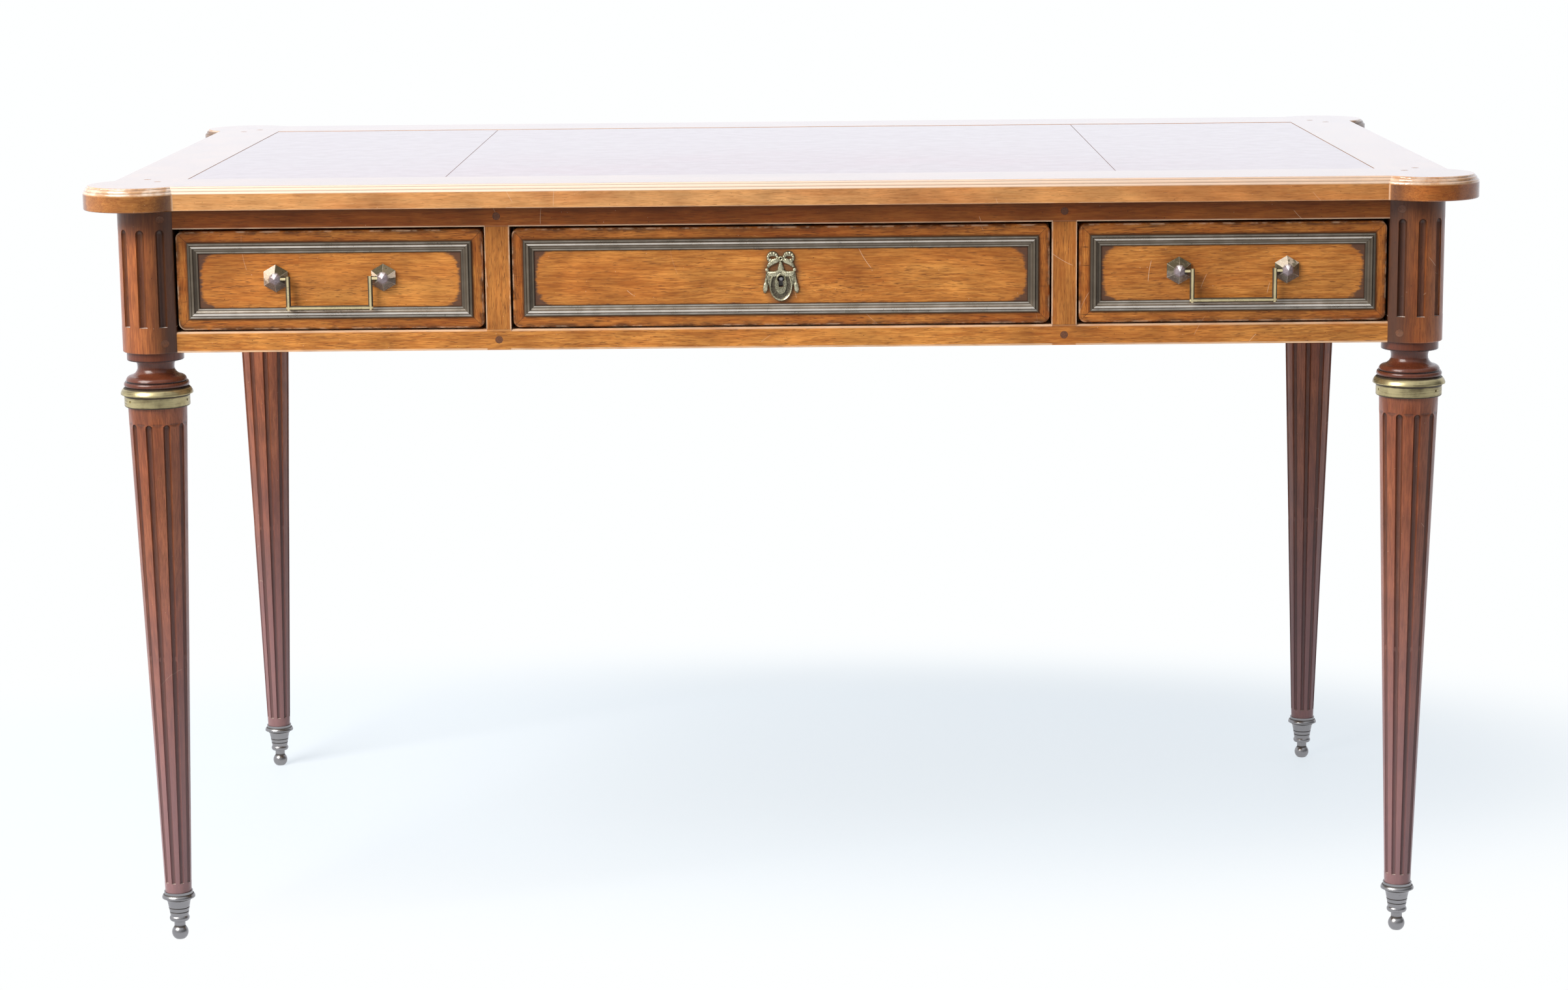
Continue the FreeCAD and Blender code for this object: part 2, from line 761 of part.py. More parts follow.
def worn_arris(x0, x1):
    # Waste outside a rounded upper arris of the bottom rail
    corner = block(x0, x1, -rail_face, -rail_face + rail_round, opening_foot - rail_round, opening_foot)
    start = V(x0, -rail_face + rail_round, opening_foot - rail_round)
    return corner.cut(Part.makeCylinder(rail_round, x1 - x0, start, axis_x))


def frieze_parts():
    # Front rails and stiles, end and back aprons, drawer ways and stops, all pegged to the posts
    pegs = post_pegs() + stile_pegs()
    holes = post_pegs(joint_gap) + stile_pegs(joint_gap) + top_pegs(joint_gap)
    runner_foot = opening_foot - runner_height
    stubs = []
    for x0, x1 in way_spans():
        stubs += way_stubs(x0, x1, runner_foot, joint_gap)
        stubs += way_stubs(x0, x1, opening_top, joint_gap)

    tenon_near = -rail_tenon_y - stile_tenon_thickness / 2
    tenon_far = tenon_near + stile_tenon_thickness
    stile_mortises = []
    for name, sign in (("left_stile", -1), ("right_stile", 1)):
        x0 = sign * stile_x - stile_width / 2
        x1 = x0 + stile_width
        stile = block(x0, x1, -rail_face, -rail_back, opening_foot, opening_top)
        span = (x0, x1, tenon_near, tenon_far, opening_foot - stile_tenon_length,
                opening_top + stile_tenon_length)
        parts[name] = cut_by(joined([stile, block(*span)]), holes)
        stile_mortises.append(block(*span, joint_gap))

    bolt_x = lock_bolt_width / 2 + lock_bolt_gap
    bolt_y = lock_bolt_place()
    strike = block(-bolt_x, bolt_x, bolt_y - lock_bolt_gap,
                   bolt_y + lock_bolt_thickness + lock_bolt_gap, opening_top,
                   front_top + lock_bolt_travel + lock_bolt_gap)
    arrises = [worn_arris(x0, x1) for x0, x1 in openings.values()]
    rails = {
        "front_top_rail": (opening_top, top_rail_height, [strike]),
        "front_bottom_rail": (post_foot, bottom_rail_height, arrises),
    }
    for name, (foot, height, waste) in rails.items():
        rail = block(-flat_x, flat_x, -rail_face, -rail_back, foot, foot + height)
        rail = joined([rail] + rail_tenons(foot, height))
        parts[name] = cut_by(rail, holes + stile_mortises + stubs + waste)

    back = block(-flat_x, flat_x, apron_back, rail_face, post_foot, under_top)
    back = joined([back] + [at_corner(back_tenon(), sign, 1) for sign in (-1, 1)])
    parts["back_apron"] = cut_by(back, holes + stubs)
    for name, sign in (("left_apron", -1), ("right_apron", 1)):
        end = block(end_apron_inner, apron_face, -flat_y, flat_y, post_foot, under_top)
        end = joined([end, apron_tenon(), at_corner(apron_tenon(), 1, -1)])
        parts[name] = cut_by(at_corner(end, sign, 1), holes)
    parts["frame_pegs"] = Part.makeCompound(pegs)

    parts["drawer_runners"] = Part.makeCompound(way_bars(runner_foot, runner_height))
    parts["drawer_kickers"] = Part.makeCompound(way_bars(opening_top, runner_height))
    guide_top = opening_foot + guide_height
    guides = []
    for sign in (-1, 1):
        outer = block(flat_x, end_apron_inner, -flat_y, flat_y, runner_foot, guide_top)
        inner = block(stile_x - stile_width / 2, stile_x + stile_width / 2, -rail_back, apron_back,
                      opening_foot, guide_top)
        guides += [at_corner(outer, sign, 1), at_corner(inner, sign, 1)]
    parts["drawer_guides"] = Part.makeCompound(guides)
    stops = []
    for x0, x1 in openings.values():
        for start in (x0 + stop_inset, x1 - stop_inset - stop_length):
            stops.append(block(start, start + stop_length, front_back + stop_gap,
                               front_back + stop_gap + stop_depth, opening_foot,
                               opening_foot + stop_height))
    parts["drawer_stops"] = Part.makeCompound(stops)


def apron_mouldings():
    # Brass frames on the end and back aprons, in line with those on the drawers
    inset = moulding_inset + drawer_side_gap
    foot = front_foot + moulding_inset
    top = front_top - moulding_inset
    frames = []
    for x0, x1 in openings.values():
        for run in brass_frame(x0 + inset, x1 - inset, foot, top, -rail_face):
            run.rotate(origin, axis_z, 180)
            frames.append(run)
    for turn in (-90, 90):
        for run in brass_frame(-flat_y + inset, flat_y - inset, foot, top, -apron_face):
            run.rotate(origin, axis_z, turn)
            frames.append(run)
    parts["apron_mouldings"] = Part.makeCompound(frames)


def tails(x0, x1, shoulder, tip, z0, z1):
    # Dovetails of a drawer side, widening from the shoulder to the tip
    pitch = (z1 - z0) / tail_count
    half_tip = tail_width / 2
    half_root = half_tip - abs(tip - shoulder) * tail_slope
    shapes = []
    for k in range(tail_count):
        z = z0 + (k + 0.5) * pitch
        trace = [(shoulder, z - half_root), (tip, z - half_tip)]
        trace += [(tip, z + half_tip), (shoulder, z + half_root)]
        face = Part.Face(Part.makePolygon([V(x0, y, w) for y, w in trace + trace[:1]]))
        shapes.append(face.extrude(V(x1 - x0, 0, 0)))
    return shapes


def rounded_front(x0, x1):
    # Drawer front with round corners and a softened face
    front = block(x0, x1, drawer_face, front_back, front_foot, front_top)
    upright = [e for e in front.Edges if abs(e.Vertexes[0].Y - e.Vertexes[1].Y) > front_thickness / 2]
    front = front.makeFillet(front_corner_radius, upright)
    face_edges = [e for e in front.Edges if all(abs(v.Y - drawer_face) < run_gap for v in e.Vertexes)]
    return front.makeFillet(front_round, face_edges)


def drawer_parts(side, x0, x1, front_waste):
    # Dovetailed drawer box in the opening from x0 to x1, with its grooved-in bottom and moulding
    left = x0 + drawer_side_gap
    right = x1 - drawer_side_gap
    rear = drawer_face + drawer_depth
    rear_shoulder = rear - back_thickness
    side_foot = opening_foot + run_gap
    side_top = opening_top - side_top_gap
    board_foot = side_foot + bottom_lift
    board_top = board_foot + bottom_thickness
    board = (left + side_thickness - bottom_groove, right - side_thickness + bottom_groove,
             front_back - bottom_groove, rear, board_foot, board_top)
    groove = block(*board, joint_gap)
    front_tails = []
    back_tails = []
    sides = []
    for inner, outer in ((left, left + side_thickness), (right - side_thickness, right)):
        front_set = tails(inner, outer, front_back, front_back - tail_lap, front_foot, front_top)
        back_set = tails(inner, outer, rear_shoulder, rear, board_top, side_top - back_drop)
        body = block(inner, outer, front_back, rear_shoulder, side_foot, side_top)
        sides.append(joined([body] + front_set + back_set).cut(groove))
        front_tails += front_set
        back_tails += back_set
    front = rounded_front(left, right).cut(front_tails + [groove] + front_waste)
    back = block(left, right, rear_shoulder, rear, board_top, side_top - back_drop)
    name = side + "_drawer_"
    parts[name + "front"] = front
    parts[name + "sides"] = Part.makeCompound(sides)
    parts[name + "back"] = back.cut(back_tails)
    parts[name + "bottom"] = block(*board)
    parts[name + "moulding"] = Part.makeCompound(
        brass_frame(left + moulding_inset, right - moulding_inset, front_foot + moulding_inset,
                    front_top - moulding_inset, drawer_face))


def handle_shanks(middle, grow=0.0):
    # Screwed shanks of one handle through the drawer front
    length = front_thickness + nut_thickness + shank_past_nut
    z = front_middle + handle_lift
    places = [middle - handle_spacing / 2, middle + handle_spacing / 2]
    return [
        Part.makeCylinder(shank_radius + grow, length, V(x, drawer_face, z), axis_y) for x in places
    ]


def handle_parts(side, middle):
    # Two six-sided knobs with shanks and nuts, and a square bail that hangs in bores in the knobs
    z = front_middle + handle_lift
    pivot_y = drawer_face - pivot_stand_off
    rings = [
        (knob_base_radius, 0),
        (knob_radius, -knob_base),
        (knob_tip_radius, -knob_base - knob_slope),
    ]
    wires = [six_sided(radius, y) for radius, y in rings]
    tip = Part.Vertex(V(0, -knob_base - knob_slope - knob_tip, 0))
    lofts = [Part.makeLoft(list(pair), True, True) for pair in zip(wires, wires[1:] + [tip])]
    head = joined(lofts)
    nut = Part.Face(six_sided(nut_radius, front_back)).extrude(V(0, nut_thickness, 0))
    shanks = handle_shanks(middle)
    holes = handle_shanks(middle, joint_gap)
    knobs = []
    nuts = []
    pins = []
    for sign, shank, hole in zip((-1, 1), shanks, holes):
        x = middle + sign * handle_spacing / 2
        pin_tip = x - sign * pin_end
        toward = V(-sign, 0, 0)
        bore = Part.makeCylinder(pin_radius + pin_gap, knob_radius,
                                 V(pin_tip + sign * pin_end_gap, pivot_y, z), toward)
        pin_length = handle_spacing / 2 - pin_end - bail_width / 2 + bail_bar / 2
        knobs.append(joined([placed(head, x, drawer_face, z), shank]).cut(bore))
        nuts.append(placed(nut, x, 0, z).cut(hole))
        pins.append(Part.makeCylinder(pin_radius, pin_length, V(pin_tip, pivot_y, z), toward))
    edge = bail_bar - bail_chamfer
    section = [(bail_chamfer, 0), (edge, 0), (bail_bar, bail_chamfer), (bail_bar, edge),
               (edge, bail_bar), (bail_chamfer, bail_bar), (0, edge), (0, bail_chamfer)]
    top = z + bail_bar / 2
    runs = mitred_frame(section, bail_bar, middle - bail_width / 2, middle + bail_width / 2,
                        z - bail_drop - bail_bar / 2, top + bail_bar, pivot_y + bail_bar / 2)
    above = block(middle - bail_width, middle + bail_width, pivot_y - bail_bar, pivot_y + bail_bar,
                  top, top + 2 * bail_bar)
    foot, right, _, left = runs
    parts[side + "_handle_knobs"] = Part.makeCompound(knobs)
    parts[side + "_handle_nuts"] = Part.makeCompound(nuts)
    parts[side + "_bail"] = joined([foot, right, left] + pins).cut(above)


def lock_bolt_place():
    # Near face of the lock bolt, in the middle of the lock
    return front_back - lock_thickness / 2 - lock_bolt_thickness / 2


def keyhole(y0, y1):
    # Round eye with a slot below, between two depths
    eye = Part.makeCylinder(key_radius, y1 - y0, V(0, y0, key_z), axis_y)
    half = key_slot_width / 2
    return eye.fuse(block(-half, half, y0, y1, key_z - key_slot_drop, key_z))


def lock_parts():
    # Lock let into the drawer front from behind, its bolt, drill pin and escutcheon
    lock_face = front_back - lock_thickness
    back_wall = lock_bolt_place() + lock_bolt_thickness
    case = block(-lock_width / 2, lock_width / 2, lock_face, front_back, front_top - lock_height, front_top)
    bolt_half = lock_bolt_width / 2
    bolt_top = front_top - lock_bolt_sink
    bolt = (-bolt_half, bolt_half, lock_bolt_place(), back_wall, bolt_top - lock_bolt_height)
    channel = block(*bolt, front_top + lock_bolt_travel, lock_bolt_gap)
    pin_start = V(0, drawer_face - plate_thickness + drill_pin_sink, key_z)
    pin = Part.makeCylinder(drill_pin_radius, back_wall - pin_start.y, pin_start, axis_y)
    parts["lock_case"] = case.cut([channel, keyhole(lock_face, back_wall)])
    parts["lock_bolt"] = block(*bolt, bolt_top)
    parts["lock_pin"] = pin
    parts["escutcheon"] = escutcheon_plate()


def escutcheon_plate():
    # Cast plate: oval shield with a keyhole, two open swags, a bow with open loops, side pendants
    face = drawer_face - plate_thickness
    depths = (face, drawer_face)
    past = (face - plate_thickness, drawer_face + plate_thickness)
    solid = [
        oval(0, key_z - shield_drop, shield_radius_x, shield_radius_z, *depths),
        oval(0, key_z + swag_rise, swag_radius_x, swag_radius_z, *depths),
        Part.makeCylinder(knot_radius, plate_thickness, V(0, face, key_z + bow_rise), axis_y),
    ]
    holes = [keyhole(*past)]
    for sign in (-1, 1):
        loop_x = sign * bow_loop_x
        loop_z = key_z + bow_rise
        solid.append(oval(loop_x, loop_z, bow_loop_radius_x, bow_loop_radius_z, *depths))
        solid.append(oval(sign * drop_x, key_z + drop_rise, drop_radius_x, drop_radius_z, *depths))
        holes.append(oval(loop_x, loop_z, bow_hole_radius_x, bow_hole_radius_z, *past))
        holes.append(oval(sign * swag_hole_x, key_z + swag_rise + swag_hole_rise,
                          swag_hole_radius_x, swag_hole_radius_z, *past))
    return joined(solid).cut(holes)


def all_drawers():
    # Side drawers carry a handle each, the middle drawer a lock
    for side, (x0, x1) in openings.items():
        middle = (x0 + x1) / 2
        waste = []
        if side == "centre":
            lock_x = lock_width / 2
            waste.append(keyhole(drawer_face, front_back))
            waste.append(block(-lock_x, lock_x, front_back - lock_thickness, front_back + front_thickness,
                               front_top - lock_height, front_top + drawer_top_gap, joint_gap))
        else:
            waste += handle_shanks(middle, joint_gap)
            handle_parts(side, middle)
        drawer_parts(side, x0, x1, waste)


os.makedirs("parts", exist_ok=True)
leg_parts()
frieze_parts()
apron_mouldings()
top_parts()
all_drawers()
lock_parts()
for node, shape in parts.items():
    shape.exportStep("parts/" + node + ".step")
print(len(parts), "nodes,", sum(len(shape.Solids) for shape in parts.values()), "solids")
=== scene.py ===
import bpy
import numpy as np
from functools import partial
from math import radians
from mathutils import Matrix, Vector


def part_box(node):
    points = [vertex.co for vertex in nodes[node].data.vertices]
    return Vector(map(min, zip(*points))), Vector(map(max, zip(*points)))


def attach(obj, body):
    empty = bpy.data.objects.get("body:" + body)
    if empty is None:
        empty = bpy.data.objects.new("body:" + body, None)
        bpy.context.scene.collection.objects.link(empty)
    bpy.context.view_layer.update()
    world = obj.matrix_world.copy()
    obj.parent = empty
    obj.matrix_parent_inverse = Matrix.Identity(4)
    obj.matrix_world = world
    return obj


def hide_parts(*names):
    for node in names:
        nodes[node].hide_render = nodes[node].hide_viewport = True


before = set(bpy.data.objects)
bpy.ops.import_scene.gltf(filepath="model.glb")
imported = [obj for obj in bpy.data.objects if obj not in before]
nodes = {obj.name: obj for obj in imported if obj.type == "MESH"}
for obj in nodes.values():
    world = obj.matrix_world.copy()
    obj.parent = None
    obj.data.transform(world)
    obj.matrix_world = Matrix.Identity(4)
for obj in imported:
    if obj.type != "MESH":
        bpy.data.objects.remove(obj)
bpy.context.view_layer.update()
print("frame loaded:", len(nodes), "nodes")


# Node helpers. They add to the node tree that was begun last

begun = {"tree": None}


def feed(socket, value):  # joins a socket to an input, or fills the input with a value
    if isinstance(value, bpy.types.NodeSocket):
        begun["tree"].links.new(value, socket)
    elif socket.type == "RGBA" and len(value) == 3:
        socket.default_value = (*value, 1.0)
    else:
        socket.default_value = value


def put(kind, inputs=None, **settings):  # adds a shader node with its settings and inputs
    made = begun["tree"].nodes.new("ShaderNode" + kind)
    for key, value in settings.items():
        setattr(made, key, value)
    for key, value in (inputs or {}).items():
        feed(made.inputs[key], value)
    return made


def calc(operation, *values, clamp=False):  # one Math node
    return put("Math", dict(enumerate(values)), operation=operation, use_clamp=clamp).outputs[0]


times = partial(calc, "MULTIPLY")
plus = partial(calc, "ADD")
minus = partial(calc, "SUBTRACT")
timesPlus = partial(calc, "MULTIPLY_ADD")
larger = partial(calc, "MAXIMUM")
smaller = partial(calc, "MINIMUM")
positive = partial(calc, "ABSOLUTE")


def hypot(a, b):  # root of the sum of two squares
    return calc("SQRT", plus(times(a, a), times(b, b)))


def vecCalc(operation, *values):  # one Vector Math node with a vector result
    return put("VectorMath", dict(enumerate(values)), operation=operation).outputs[0]


def awayFrom(place, middle, scales):  # distance from a point, with a scale for each axis
    scaled = vecCalc("MULTIPLY", vecCalc("SUBTRACT", place, middle), scales)
    return put("VectorMath", {0: scaled}, operation="LENGTH").outputs["Value"]


def ramp(value, low, high, start=0.0, end=1.0):  # smooth step from low to high, clamped
    sizes = dict(enumerate((value, low, high, start, end)))
    return put("MapRange", sizes, interpolation_type="SMOOTHSTEP").outputs[0]


def band(value, centre, width):  # 1 at the centre, falling to 0 at the width to each side
    return ramp(positive(minus(value, centre)), 0.0, width, 1.0, 0.0)


def blend(factor, first, second, mode="MIX"):  # mixes two colours
    return put("Mix", {0: factor, 6: first, 7: second}, data_type="RGBA", blend_type=mode).outputs[2]


def tinted(color, tint):  # a colour multiplied by a tint
    return blend(1.0, color, tint, "MULTIPLY")


def paint(color, *coats):  # lays tones over a colour, each coat with its share and tone
    for share, tone in coats:
        color = blend(share, color, tone)
    return color


def cloud(vector, scales, detail=2.0, rough=0.5):  # noise with a scale for each axis, or one for all
    spread = vecCalc("MULTIPLY", vector, np.broadcast_to(scales, 3).tolist())
    return put("TexNoise", {"Vector": spread, "Scale": 1.0, "Detail": detail, "Roughness": rough}).outputs[0]


def axes(vector):  # the three coordinates of a vector
    return put("SeparateXYZ", {0: vector}).outputs


def join(*values):  # a vector of three coordinates
    return put("CombineXYZ", dict(enumerate(values))).outputs[0]


def makeGroup(name, inputs, outputs):  # empty node group with sockets named in words, each label:kind
    tree = begun["tree"] = bpy.data.node_groups.new(name, "ShaderNodeTree")
    kinds = {"v": "NodeSocketVector", "c": "NodeSocketColor", "f": "NodeSocketFloat"}
    for side, sockets in (("INPUT", inputs), ("OUTPUT", outputs)):
        for word in sockets.split():
            label, kind = word.split(":")
            tree.interface.new_socket(label, in_out=side, socket_type=kinds[kind])
    source = tree.nodes.new("NodeGroupInput")
    return tree, source.outputs, tree.nodes.new("NodeGroupOutput").inputs


def useGroup(group, **values):  # places a group and fills its inputs
    return put("Group", values, node_tree=group).outputs


def makeMaterial(name):  # empty material with its Principled shader and object coordinates
    material = bpy.data.materials.new(name)
    material.use_nodes = True
    begun["tree"] = material.node_tree
    material.node_tree.nodes.clear()
    shader = put("BsdfPrincipled")
    put("OutputMaterial", {0: shader.outputs[0]})
    return material, shader, put("TexCoord").outputs["Object"]


def setShader(shader, color, rough, height=None, bump=0.2, depth=0.0004, **inputs):
    # fills the Principled shader, with a bump where there is a height
    feed(shader.inputs["Base Color"], color)
    feed(shader.inputs["Roughness"], rough)
    if height is not None:
        raised = put("Bump", {"Strength": bump, "Distance": depth, "Height": height})
        feed(shader.inputs["Normal"], raised.outputs[0])
    for label, value in inputs.items():
        feed(shader.inputs[label], value)


# Shared effects

def woodGroup():
    # Mahogany: four clouds of ever finer bands, drawn out along X and bent by a slow cloud, then two mottles,
    # ruddy places and pores
    tree, given, out = makeGroup(
        "mahoganyGrain", "Vector:v Pale:c Deep:c Pore:c Pores:f", "Color:c Roughness:f Height:f")
    slow = vecCalc("MULTIPLY", given["Vector"], (2.5, 6.0, 6.0))
    bend = put("TexNoise", {"Vector": slow, "Scale": 1.0}).outputs[1]
    shift = vecCalc("MULTIPLY", vecCalc("SUBTRACT", bend, (0.5, 0.5, 0.5)), (0.0, 0.02, 0.02))
    grain = vecCalc("ADD", given["Vector"], shift)
    tone = 0.0
    bands = ((3.0, 20.0, 0.17), (10.0, 110.0, 0.17), (32.0, 520.0, 0.3), (65.0, 1250.0, 0.36))
    for along, across, share in bands:
        layer = cloud(grain, (along, across, across))
        tone = plus(tone, times(layer, share))
    color = blend(ramp(tone, 0.38, 0.62), given["Pale"], given["Deep"])
    for scales, least, most in (((22.0, 30.0, 30.0), 0.84, 1.14), ((45.0, 240.0, 240.0), 0.92, 1.08)):
        color = tinted(color, ramp(cloud(grain, scales, 3.0), 0.3, 0.7, least, most))
    ruddy = ramp(cloud(grain, (7.0, 26.0, 26.0), 3.0), 0.44, 0.64, 0.0, 0.65)
    color = blend(ruddy, color, tinted(color, (0.82, 0.68, 0.6)))
    dashes = cloud(grain, (110.0, 1900.0, 1900.0), 1.0)
    patch = cloud(grain, (7.0, 45.0, 45.0))
    pores = ramp(plus(dashes, times(patch, 0.2)), 0.7, 0.78)
    pores = times(pores, given["Pores"], clamp=True)
    feed(out["Color"], blend(pores, color, given["Pore"]))
    feed(out["Roughness"], plus(ramp(layer, 0.3, 0.8, 0.32, 0.46), times(pores, 0.2)))
    feed(out["Height"], minus(times(layer, 0.3), pores))
    return tree


def scatter(vector, density):
    # Cells of a scatter, with a density to the metre: three random values, and the way across and up from
    # the middle of the cell
    spread = vecCalc("MULTIPLY", vector, (density,) * 3)
    cells = put("TexVoronoi", {"Vector": spread, "Scale": 1.0}).outputs
    gapX, _, gapZ = axes(vecCalc("SUBTRACT", spread, cells["Position"]))
    return *axes(cells["Color"]), gapX, gapZ


def wearGroup():
    # Use and age: soft dark stains, thin scratches, chips and worm holes. Each cell of a scatter holds one
    # scratch through its middle, turned and lengthened by the cell's own colour
    tree, given, out = makeGroup("scuffsAndStains", "Vector:v Scuffs:f Stains:f", "Scuff:f Stain:f")
    x, y, z = axes(given["Vector"])
    flat = join(timesPlus(y, 0.6, x), 0.0, timesPlus(y, 0.8, z))
    turn, chance, size, gapX, gapZ = scatter(flat, 17.0)
    angle = timesPlus(turn, 2.2, 0.5)
    sine, cosine = calc("SINE", angle), calc("COSINE", angle)
    along = timesPlus(gapX, cosine, times(gapZ, sine))
    aside = minus(times(gapZ, cosine), times(gapX, sine))
    bow = timesPlus(times(along, along), 0.35, aside)
    line = ramp(positive(bow), 0.002, 0.006, 1.0, 0.0)
    reach = timesPlus(size, 0.28, 0.04)
    ends = ramp(minus(positive(along), reach), -0.05, 0.0, 1.0, 0.0)
    scuff = times(times(line, ends), ramp(chance, 0.6, 0.85))
    stain = ramp(cloud(given["Vector"], (9.0, 9.0, 16.0), 4.0, 0.6), 0.5, 0.74)
    stain = times(stain, given["Stains"])
    kind, pick, size, gapX, gapZ = scatter(flat, 170.0)  # chips and worm holes
    dot = ramp(minus(hypot(gapX, gapZ), times(size, 0.06)), 0.0, 0.03, 1.0, 0.0)
    dot = times(dot, ramp(pick, 0.9, 0.92))
    chip = times(dot, ramp(kind, 0.6, 0.62, 0.0, 0.8))
    worm = times(dot, ramp(kind, 0.6, 0.62, 0.9, 0.0))
    feed(out["Scuff"], times(larger(scuff, chip), given["Scuffs"], clamp=True))
    worm = times(worm, ramp(given["Scuffs"], 0.3, 0.5))
    feed(out["Stain"], larger(stain, worm, clamp=True))
    return tree


def panelGroup():
    # Upright rectangle: Edge is the larger of |x - cx| - hx and |z - cz| - hz, Mitre their difference,
    # and Round the distance to the same rectangle with corners of the given radius
    tree, given, out = makeGroup(
        "panelDistance", "Vector:v Centre:v Half:v Radius:f", "Edge:f Mitre:f Round:f")
    away = vecCalc("ABSOLUTE", vecCalc("SUBTRACT", given["Vector"], given["Centre"]))
    x, _, z = axes(vecCalc("SUBTRACT", away, given["Half"]))
    feed(out["Edge"], larger(x, z))
    feed(out["Mitre"], minus(x, z))
    beyond = [plus(side, given["Radius"]) for side in (x, z)]
    squares = [calc("POWER", larger(side, 0.0), 2.0) for side in beyond]
    corner = calc("SQRT", plus(*squares))
    within = smaller(larger(*beyond), 0.0)
    feed(out["Round"], minus(plus(corner, within), given["Radius"]))
    return tree


def metalGroup():
    # Aged metal: slow and fast clouds mix clean, dull and dirty tones, and dirt gathers where Proud is low
    tree, given, out = makeGroup(
        "agedMetal", "Vector:v Proud:f Clean:c Dull:c Dirt:c Age:f", "Color:c Roughness:f Metal:f Height:f")
    slow = cloud(given["Vector"], 60.0, 4.0, 0.6)
    fast = cloud(given["Vector"], 620.0, 3.0, 0.6)
    rubbed = timesPlus(minus(slow, 0.5), 0.35, given["Proud"])
    dull = times(ramp(rubbed, 0.35, 1.05, 1.0, 0.0), given["Age"], clamp=True)
    low = ramp(plus(given["Proud"], times(slow, 0.3)), 0.15, 0.65, 1.0, 0.0)
    spots = ramp(fast, 0.62, 0.76, 0.0, 0.3)
    dirt = times(larger(low, spots), given["Age"], clamp=True)
    feed(out["Color"], paint(given["Clean"], (dull, given["Dull"]), (dirt, given["Dirt"])))
    feed(out["Roughness"], plus(ramp(slow, 0.3, 0.7, 0.26, 0.34), times(dirt, 0.3)))
    feed(out["Metal"], minus(1.0, times(dirt, 0.55)))
    feed(out["Height"], minus(fast, dirt))
    return tree


grainGroup = woodGroup()
scuffGroup = wearGroup()
rectGroup = panelGroup()
brassGroup = metalGroup()
print("shared effects made")


# Wood

mahogany = {
    "front": ((0.66, 0.28, 0.062), (0.39, 0.128, 0.023)),  # pale and deep tones of the grain
    # darker tones of the top rail: painted shade under the overhang of the top
    "shade": ((0.4, 0.135, 0.028), (0.26, 0.07, 0.013)),
    "stile": ((0.52, 0.205, 0.045), (0.35, 0.11, 0.021)),
    "leg": ((0.34, 0.108, 0.042), (0.2, 0.056, 0.024)),
    "post": ((0.47, 0.152, 0.041), (0.27, 0.075, 0.022)),
    "ear": ((0.52, 0.205, 0.045), (0.34, 0.108, 0.021)),
    "top": ((0.69, 0.35, 0.13), (0.57, 0.255, 0.083)),
    "pore": (0.16, 0.052, 0.012),
    "flat": (0.94, 0.92, 0.9),  # deepens the flat of the top
    # pale rounds of the top's edge: rubbed wear, with a painted highlight
    "rubbed": (0.92, 0.72, 0.56),
    "bare": (0.78, 0.56, 0.38),  # where the finish is lost
    # dark of dirt and stains, also laid on as painted shade in corners and under the top
    "grimeAndShade": (0.045, 0.018, 0.008),
    "shine": 0.25,  # specular level of the waxed fronts and legs
    "polish": 0.07,  # coat roughness of the top
}
bare, grimeAndShade = mahogany["bare"], mahogany["grimeAndShade"]


def grainVector(place, along, seed):  # object coordinates with the named axis first, moved by a seed
    x, y, z = axes(place)
    order = {"X": (x, y, z), "Y": (y, x, z), "Z": (z, y, x)}[along]
    return vecCalc("ADD", join(*order), (seed, seed * 0.37, seed * 0.71))


def agedWood(place, vector, tones, pores, scuffs, stains):  # grain with stains and scratches over it
    pale, deep = mahogany[tones]
    grain = useGroup(grainGroup, Vector=vector, Pale=pale, Deep=deep, Pore=mahogany["pore"], Pores=pores)
    marks = useGroup(scuffGroup, Vector=place, Scuffs=scuffs, Stains=stains)
    color = paint(grain["Color"], (marks["Stain"], grimeAndShade), (marks["Scuff"], bare))
    return color, grain["Roughness"], grain["Height"]


low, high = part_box("right_stile")
stileMiddle, stileHalf = (low[0] + high[0]) / 2, (high[0] - low[0]) / 2


def heightMarks(place, color, lines, darks):
    # lines are pale heights, worn arrises that on the rails also stand for a painted highlight, weak across
    # the stiles, and darks are dark heights, dirty joints and painted shade, each (height, width, amount)
    x, _, z = axes(vecCalc("ABSOLUTE", place))
    clear = ramp(positive(minus(x, stileMiddle)), stileHalf - 0.001, stileHalf, 0.15, 1.0)
    ragged = times(ramp(cloud(place, (30.0, 30.0, 200.0), 3.0), 0.25, 0.6, 0.45, 1.0), clear)
    # pale heights: worn arrises, on the rails with a painted highlight
    worn = [(times(times(band(z, level, width), ragged), amount), bare) for level, width, amount in lines]
    # dark heights: dirty joints, and painted shade in ledges and under the top
    dirty = [(times(band(z, level, width), amount), grimeAndShade) for level, width, amount in darks]
    return paint(color, *worn, *dirty)


def waxed(shader, color, rough, height):  # finish of the frieze
    setShader(shader, color, rough, height, 0.25, 0.0003, **{"Specular IOR Level": mahogany["shine"]})


def frameWood(name, along, seed, tones, lines=(), darks=(), sides=()):
    # Plain straight-grained rail or stile. sides are worn edges, each (distance from the middle, amount)
    material, shader, place = makeMaterial(name)
    color, rough, height = agedWood(place, grainVector(place, along, seed), tones, 0.75, 0.5, 0.1)
    across = axes(vecCalc("ABSOLUTE", place))[0]
    ragged = ramp(cloud(place, (60.0, 60.0, 45.0), 4.0, 0.6), 0.35, 0.55, 0.1, 1.0)
    worn = [(times(band(across, side, 0.0016), times(ragged, amount)), bare) for side, amount in sides]
    waxed(shader, heightMarks(place, paint(color, *worn), lines, darks), rough, height)
    return material


